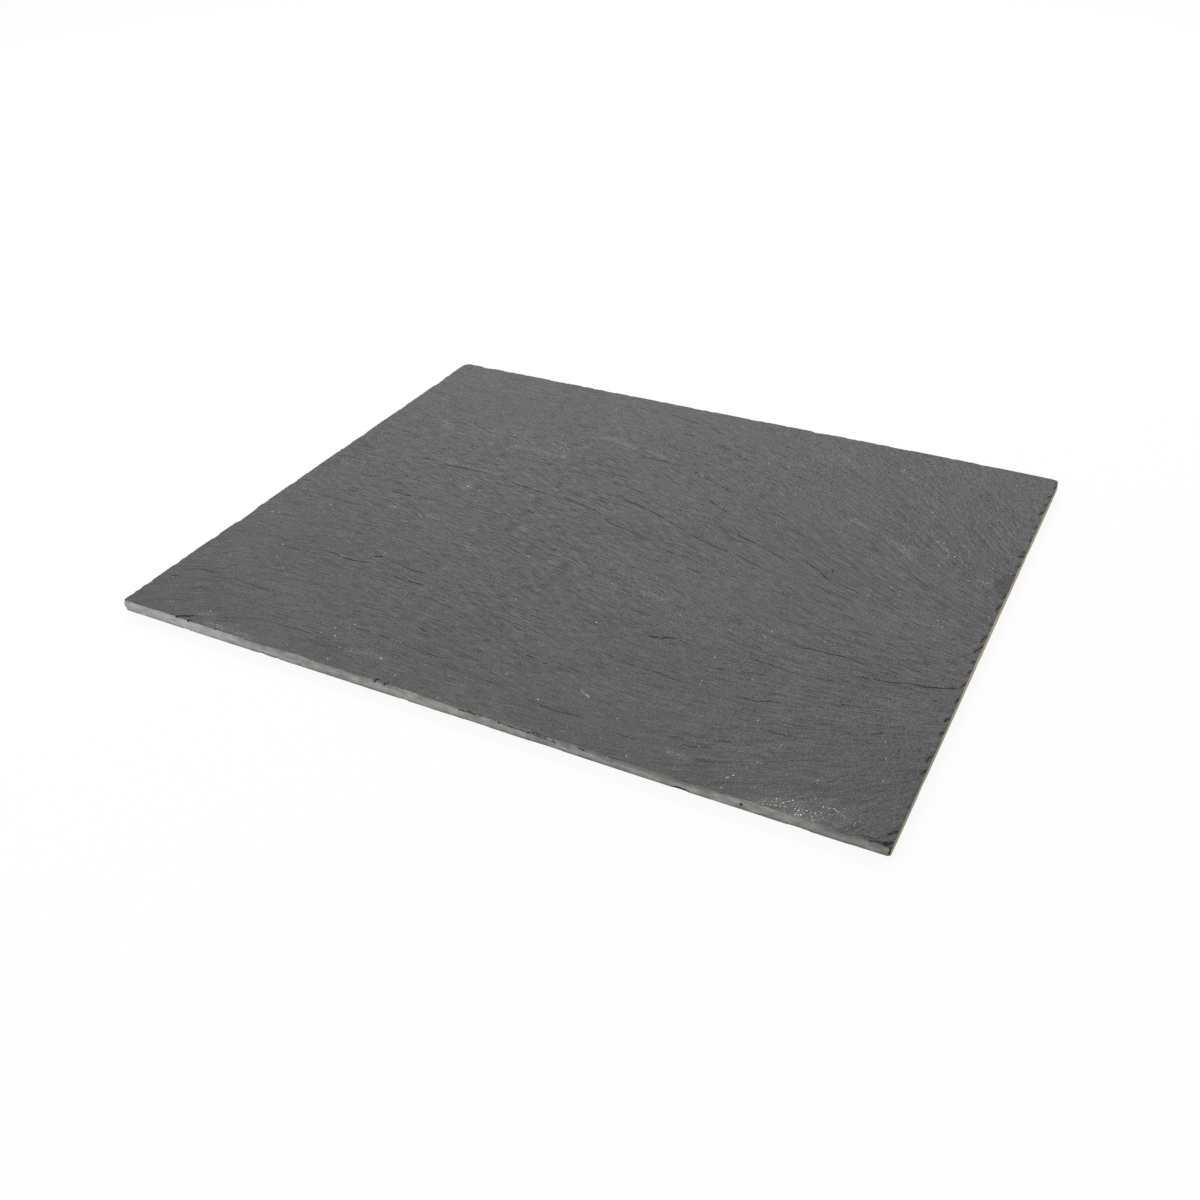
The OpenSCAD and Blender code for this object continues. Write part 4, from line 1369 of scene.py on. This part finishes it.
def leaf_edges(tree, grain, length, width, half_width, start):
    """Lines where a noise along the grain passes its mean and another is high, and the noise's step there."""
    leaf = wavering(tree, [(grain_pattern(tree, grain, length, width, start), 1.0)])
    half = half_width * NOISE_SLOPE / width
    edge = line_share(tree, leaf, half, 0.0, half)
    step = add_node(tree, "MapRange", {"Value": leaf, "From Min": -half, "From Max": half})
    mask = grain_pattern(
        tree, grain, MASK_LENGTH_SHARE * length, MASK_WIDTH_SHARE * width, start + MASK_APART,
    )
    here = add_node(tree, "MapRange", {"Value": mask, "From Min": MASK_LOW, "From Max": MASK_HIGH})
    return added(tree, [(edge, here)]), added(tree, [(step, here)])


def riven_colour(tree, spot, layers, strength, grit, cloud):
    """The split face's grey: streaks along the grain, partly painted shade of its fine relief, painted
    glints, grit, broad clouds, and painted light that makes it paler towards the back.
    """
    painted_glint = add_node(tree, "MapRange", {"Value": layers[0], "From Min": GLINT_LOW, "From Max": GLINT_HIGH})
    streaks = wavering(
        tree, [(layer, share) for layer, (_, _, share, _) in zip(layers, GRAIN_PATTERNS)], -GLINT_MEAN,
    )
    streaks = added(tree, [(painted_glint, GLINT_SHADE)], streaks)
    deep = add_node(tree, "SeparateXYZ", {0: spot}, "Y")
    grit_share = added(tree, [(strength, -GRIT_GIVES_WAY), (deep, GRIT_PER_METRE_DEEP)], GRIT_SHADE)
    shade = wavering(tree, [(cloud, CLOUD_SHADE)], MEAN_SHADE)
    # Painted light: the top is paler towards the back
    shade = added(tree, [
        (wavering(tree, [(grit, 1.0)]), grit_share), (deep, PAINTED_SHEEN_PER_METRE_DEEP), (streaks, strength),
    ], shade)
    return tinted(tree, linear(SLATE_DARK), SLATE_PALE, shade)


def crack_share(tree, crack_at, crack_half, layers, jitter):
    """1 inside a crack. The thin ones break up where the streaks that they run along are low."""
    cracked = line_share(tree, crack_at, crack_half, wavering(tree, [(jitter, CRACK_WOBBLE)]), CRACK_SOFT)
    streaks = added(tree, [(layer, 1 / 2) for layer in layers[:2]])
    left = add_node(
        tree, "MapRange",
        {"Value": streaks, "From Min": BREAK_LOW, "From Max": BREAK_HIGH, "To Min": THIN_CRACK},
    )
    whole = add_node(tree, "Math", {0: crack_half, 1: WHOLE_CRACK}, operation="GREATER_THAN")
    left = add_node(tree, "Math", {0: left, 1: whole}, operation="MAXIMUM")
    return added(tree, [(cracked, left)])


def marks_on_top(tree, spot, jitter, rim):
    """What is painted over the split face, from the lowest up, with painted shade in the scars among them:
    the shade, share and strength of each.
    """
    scar_shadow = add_node(tree, "MapRange", {"Value": rim, "From Min": SCAR_LOW, "From Max": SCAR_HIGH})
    mark_at, mark_half, share = attribute_parts(tree, "mark")
    scratched = line_share(
        tree, mark_at, mark_half, wavering(tree, [(jitter, SCRATCH_WOBBLE)]), SCRATCH_SOFT,
    )
    smear = add_node(
        tree, "MapRange",
        {"Value": share, "From Min": FLECK_SHARE, "From Max": SMEAR_SHARE, "To Max": SMEAR_PALENESS},
    )
    fleck_x, fleck_y, fleck_r = attribute_parts(tree, "fleck")
    offset = add_node(tree, "CombineXYZ", {0: fleck_x, 1: fleck_y})
    away = add_node(tree, "VectorMath", {0: offset}, 1, operation="LENGTH")
    single = line_share(tree, away, fleck_r, wavering(tree, [(jitter, SPOT_WOBBLE)]), SPOT_SOFT)
    bright = flecks(tree, spot, share, *BRIGHT_CELLS)
    faint = flecks(tree, spot, added(tree, [(share, FAINT_RISE)], FAINT_SHARE), *FAINT_CELLS)
    return [
        (FLECK_SHADE, smear, 1.0),
        (SCAR_SHADOW_AND_DARK_STONE, scar_shadow, SCAR_STRENGTH),
        (FLECK_SHADE, faint, FAINT_STRENGTH),
        (FLECK_SHADE, bright, 1.0),
        (FLECK_SHADE, single, MARK_STRENGTH),
        (FLECK_SHADE, scratched, MARK_STRENGTH),
    ]


def sawn_colour(tree, spot, grit, tone, warmth):
    """The sawn sides: paler, warm along some of them, with level lines of cleavage, smears and dark grains.
    """
    terms = [(grit, SAWN_GRIT)]
    for wide, high, detail, weight in SAWN_NOISES:
        scale = (1 / (wide * MM), 1 / (wide * MM), 1 / (high * MM))
        place = add_node(tree, "Mapping", {"Vector": spot, "Scale": scale})
        terms.append((add_node(tree, "TexNoise", {"Vector": place, "Scale": 1.0, "Detail": detail}), weight))
    shade = added(tree, [(tone, 1.0)], wavering(tree, terms))
    grey = tinted(tree, linear(SAWN_DARK), SAWN_PALE, shade)
    warm = tinted(tree, linear(WARM_DARK), WARM_PALE, shade)
    colour = add_node(tree, "Mix", {0: warmth, 6: grey, 7: warm}, 2, data_type="RGBA")
    grains = flecks(tree, spot, DARK_GRAIN_SHARE, *SAWN_CELLS, "3D")
    return tinted(tree, colour, SCAR_SHADOW_AND_DARK_STONE, grains, DARK_GRAIN_STRENGTH)


def riven_slate(tree):
    """Slate split along its cleavage: dark grey, matt with a faint silk, with fine streaks along the grain.

    Its sides were sawn and are paler, with the cleavage showing as thin level lines.
    """
    spot = add_node(tree, "TexCoord", {}, "Object")
    grain = grain_places(tree)
    layers = [
        grain_pattern(tree, grain, length, width, PATTERN_APART * number, 2.0)
        for number, (length, width, _, _) in enumerate(GRAIN_PATTERNS)
    ]
    grit, cloud, jitter, ragged = (
        add_node(tree, "TexNoise", {"Vector": spot, "Scale": 1 / (size * MM), "Detail": detail})
        for size, detail in (GRIT_NOISE, CLOUD_NOISE, JITTER_NOISE, RAGGED_NOISE)
    )
    strength = streak_strength(tree, spot)
    colour = riven_colour(tree, spot, layers, strength, grit, cloud)
    heights = [(layer, height) for layer, (_, _, _, height) in zip(layers, GRAIN_PATTERNS)]
    for number, (length, width, half_width, darkness, step_height) in enumerate(LEAF_EDGES):
        start = LEAF_START + LEAF_APART * number
        edge, step = leaf_edges(tree, grain, length, width, half_width, start)
        # Painted shadow along each leaf's step
        colour = tinted(tree, colour, PAINTED_LINE_SHADOW, edge, darkness)
        heights.append((step, step_height))

    crack_at, crack_half, rim = attribute_parts(tree, "crack")
    for shade, share, weight in marks_on_top(tree, spot, jitter, rim):
        colour = tinted(tree, colour, shade, share, weight)

    below, tone, warmth = attribute_parts(tree, "wall")
    edge_at = added(tree, [(below, 1.0)], wavering(tree, [(ragged, EDGE_WOBBLE)]))
    sawn = add_node(tree, "MapRange", {"Value": edge_at, "From Min": EDGE_LOW, "From Max": EDGE_HIGH})
    side = sawn_colour(tree, spot, grit, tone, warmth)
    colour = add_node(tree, "Mix", {0: sawn, 6: colour, 7: side}, 2, data_type="RGBA")
    fringe = line_share(tree, edge_at, FRINGE_HALF, 0.0, FRINGE_SOFT)
    colour = tinted(tree, colour, FRINGE_SHADE, fringe, FRINGE_STRENGTH)
    # Cracks, the scars' hooks and the front side's marks are painted as lines of shadow
    cracked = crack_share(tree, crack_at, crack_half, layers, jitter)
    colour = tinted(tree, colour, PAINTED_LINE_SHADOW, cracked, CRACK_STRENGTH)

    riven_height = added(tree, [(added(tree, heights), strength)])
    height = add_node(tree, "Mix", {0: sawn, 2: riven_height, 3: 0.0})
    height = added(tree, [(height, 1.0), (grit, GRIT_HEIGHT), (cracked, -CRACK_DEEP)])
    return add_node(tree, "BsdfPrincipled", {
        "Base Color": colour,
        "Roughness": added(tree, [(layers[0], ROUGH_SPREAD)], SLATE_ROUGH),
        "Specular IOR Level": SLATE_SPECULAR,
        "Normal": add_node(tree, "Bump", {"Height": height, "Distance": MM, "Strength": 1.0}),
    })


# Feet

# Points round a foot, and along the profile's larger and smaller arcs
TURNS = 64
ARC_STEPS, TOP_ARC_STEPS = 9, 5
FOOT_SHARP_ANGLE = 35
# The rounded lower rim, the softened upper rim, and how far the side draws in towards the top
FOOT_RIM_R, FOOT_TOP_R = 0.6, 0.15
FOOT_DRAFT = 0.12
# The mark that the mould's gate leaves: its radius, the share of that which is its floor, and its depth
GATE_R, GATE_FLOOR_SHARE, GATE_DEEP = 0.7, 0.7, 0.12
# Shares of the radius at which the flat faces have a ring of points
BASE_SHARES = (0.4, 0.65)
CAP_SHARE = 0.5
ADHESIVE_SHARE = 0.6
# How far the pressed foam's side bulges
ADHESIVE_BULGE = 0.08

# Rubber: its mould's grain and the dust on it in millimetres, how high the dust's noise is where it shows
RUBBER_SHADE, DUST_SHADE = "#262626", "#4a4947"
RUBBER_GRAIN, RUBBER_GRAIN_DEEP = 0.25, 0.02
DUST_SIZE = 2.5
DUST_LOW, DUST_HIGH = 0.5, 0.9
RUBBER_ROUGH, RUBBER_ROUGH_SPREAD = 0.6, 0.2
# Foam: its colour, with its pits painted darker as shade in their hollows; its cells in millimetres, how far
# across a cell its pit reaches, and the pit's depth in millimetres
FOAM_SHADE, PIT_PAINTED_SHADE = "#d8d5cc", "#b4b0a4"
CELL_SIZE = 0.18
PIT_SHARE, PIT_DEEP = 0.5, 0.03
FOAM_ROUGH = 0.8


def revolved(profile, middle):
    """A closed solid of revolution: (radius, height) points from pole to pole, carried round a middle."""
    angle = np.linspace(0, 2 * np.pi, TURNS, endpoint=False)
    rings = profile[1:-1]
    x = middle[0] + rings[:, :1] * np.cos(angle)
    y = middle[1] + rings[:, :1] * np.sin(angle)
    z = np.repeat(rings[:, 1:], TURNS, axis=1)
    poles = [[middle[0], middle[1], profile[end, 1]] for end in (0, -1)]
    points = np.concatenate([np.stack([x, y, z], axis=-1).reshape(-1, 3), poles])
    number = np.arange(len(rings) * TURNS).reshape(len(rings), TURNS)
    after = np.roll(number, -1, axis=1)
    sides = np.stack([number[:-1], after[:-1], after[1:], number[1:]], axis=-1).reshape(-1, 4)
    base = np.stack([np.full(TURNS, number.size), after[0], number[0]], axis=-1)
    cap = np.stack([np.full(TURNS, number.size + 1), number[-1], after[-1]], axis=-1)
    return points, [sides, np.concatenate([base, cap])]


def arc(middle, half_width, half_height, start, end, steps):
    """Points on an oval's arc, by its angle in degrees."""
    angle = np.radians(np.linspace(start, end, steps))
    across, up = half_width * np.cos(angle), half_height * np.sin(angle)
    return np.stack([middle[0] + across, middle[1] + up], axis=-1)


def foot_profile(radius, low, high):
    """Flat base with a small gate mark, a rounded rim, and a side that draws in a little to the top."""
    gate = [(0, low + GATE_DEEP), (GATE_R * GATE_FLOOR_SHARE, low + GATE_DEEP), (GATE_R, low)]
    flat = [(radius * share, low) for share in BASE_SHARES]
    rim = arc((radius - FOOT_RIM_R, low + FOOT_RIM_R), FOOT_RIM_R, FOOT_RIM_R, -90, 0, ARC_STEPS)
    top_middle = (radius - FOOT_DRAFT - FOOT_TOP_R, high - FOOT_TOP_R)
    top = arc(top_middle, FOOT_TOP_R, FOOT_TOP_R, 0, 90, TOP_ARC_STEPS)
    return np.concatenate([gate, flat, rim, top, [(radius * CAP_SHARE, high), (0, high)]])


def adhesive_profile(radius, low, high):
    """A thin disc with a side that bulges a little, as pressed foam does."""
    middle = (radius - ADHESIVE_BULGE, (low + high) / 2)
    side = arc(middle, ADHESIVE_BULGE, (high - low) / 2, -90, 90, ARC_STEPS)
    inner = radius * ADHESIVE_SHARE
    return np.concatenate([[(0, low), (inner, low)], side, [(inner, high), (0, high)]])


def moulded_rubber(tree):
    """Moulded black rubber: matt, with the fine even grain of a spark-finished mould and a little dust."""
    spot = add_node(tree, "TexCoord", {}, "Object")
    grain, dust = (
        add_node(tree, "TexNoise", {"Vector": spot, "Scale": 1 / (size * MM), "Detail": detail})
        for size, detail in ((RUBBER_GRAIN, 2.0), (DUST_SIZE, 3.0))
    )
    dusty = add_node(tree, "MapRange", {"Value": dust, "From Min": DUST_LOW, "From Max": DUST_HIGH})
    depth = RUBBER_GRAIN_DEEP * MM
    return add_node(tree, "BsdfPrincipled", {
        "Base Color": tinted(tree, linear(RUBBER_SHADE), DUST_SHADE, dusty),
        "Roughness": added(tree, [(grain, RUBBER_ROUGH_SPREAD)], RUBBER_ROUGH),
        "Normal": add_node(tree, "Bump", {"Height": grain, "Distance": depth, "Strength": 1.0}),
    })


def foam_adhesive(tree):
    """Off-white acrylic foam tape: matt, with small closed cells that show on its cut side, their pits
    painted darker as shade.
    """
    spot = add_node(tree, "TexCoord", {}, "Object")
    cells = add_node(tree, "TexVoronoi", {"Vector": spot, "Scale": 1 / (CELL_SIZE * MM)})
    pits = add_node(tree, "MapRange", {"Value": cells, "From Min": 0.0, "From Max": PIT_SHARE})
    return add_node(tree, "BsdfPrincipled", {
        "Base Color": tinted(tree, linear(PIT_PAINTED_SHADE), FOAM_SHADE, pits),
        "Roughness": FOAM_ROUGH,
        "Normal": add_node(tree, "Bump", {"Height": pits, "Distance": PIT_DEEP * MM, "Strength": 1.0}),
    })


def add_feet():
    """Four rubber feet, each under its own disc of foam adhesive."""
    kinds = [
        ("foot", "rubber_foot", foot_profile, material_of(moulded_rubber), "foot_rubber"),
        ("adhesive", "foam_disc", adhesive_profile, material_of(foam_adhesive), "foam_adhesive"),
    ]
    for corner in CORNER_R:
        for kind, name, profile, material, slot in kinds:
            node = corner + "_" + kind
            low, high = box_mm(node)
            points, faces = revolved(profile((high[0] - low[0]) / 2, low[2], high[2]), (low + high) / 2)
            points = np.clip(points, low, high)
            add_piece(corner + "_" + name, points, faces, material, node, {}, FOOT_SHARP_ANGLE)


add_camera()
add_floor()
add_light()
bpy.context.scene.view_settings.view_transform = "Standard"
add_slab()
add_feet()

bpy.context.view_layer.update()
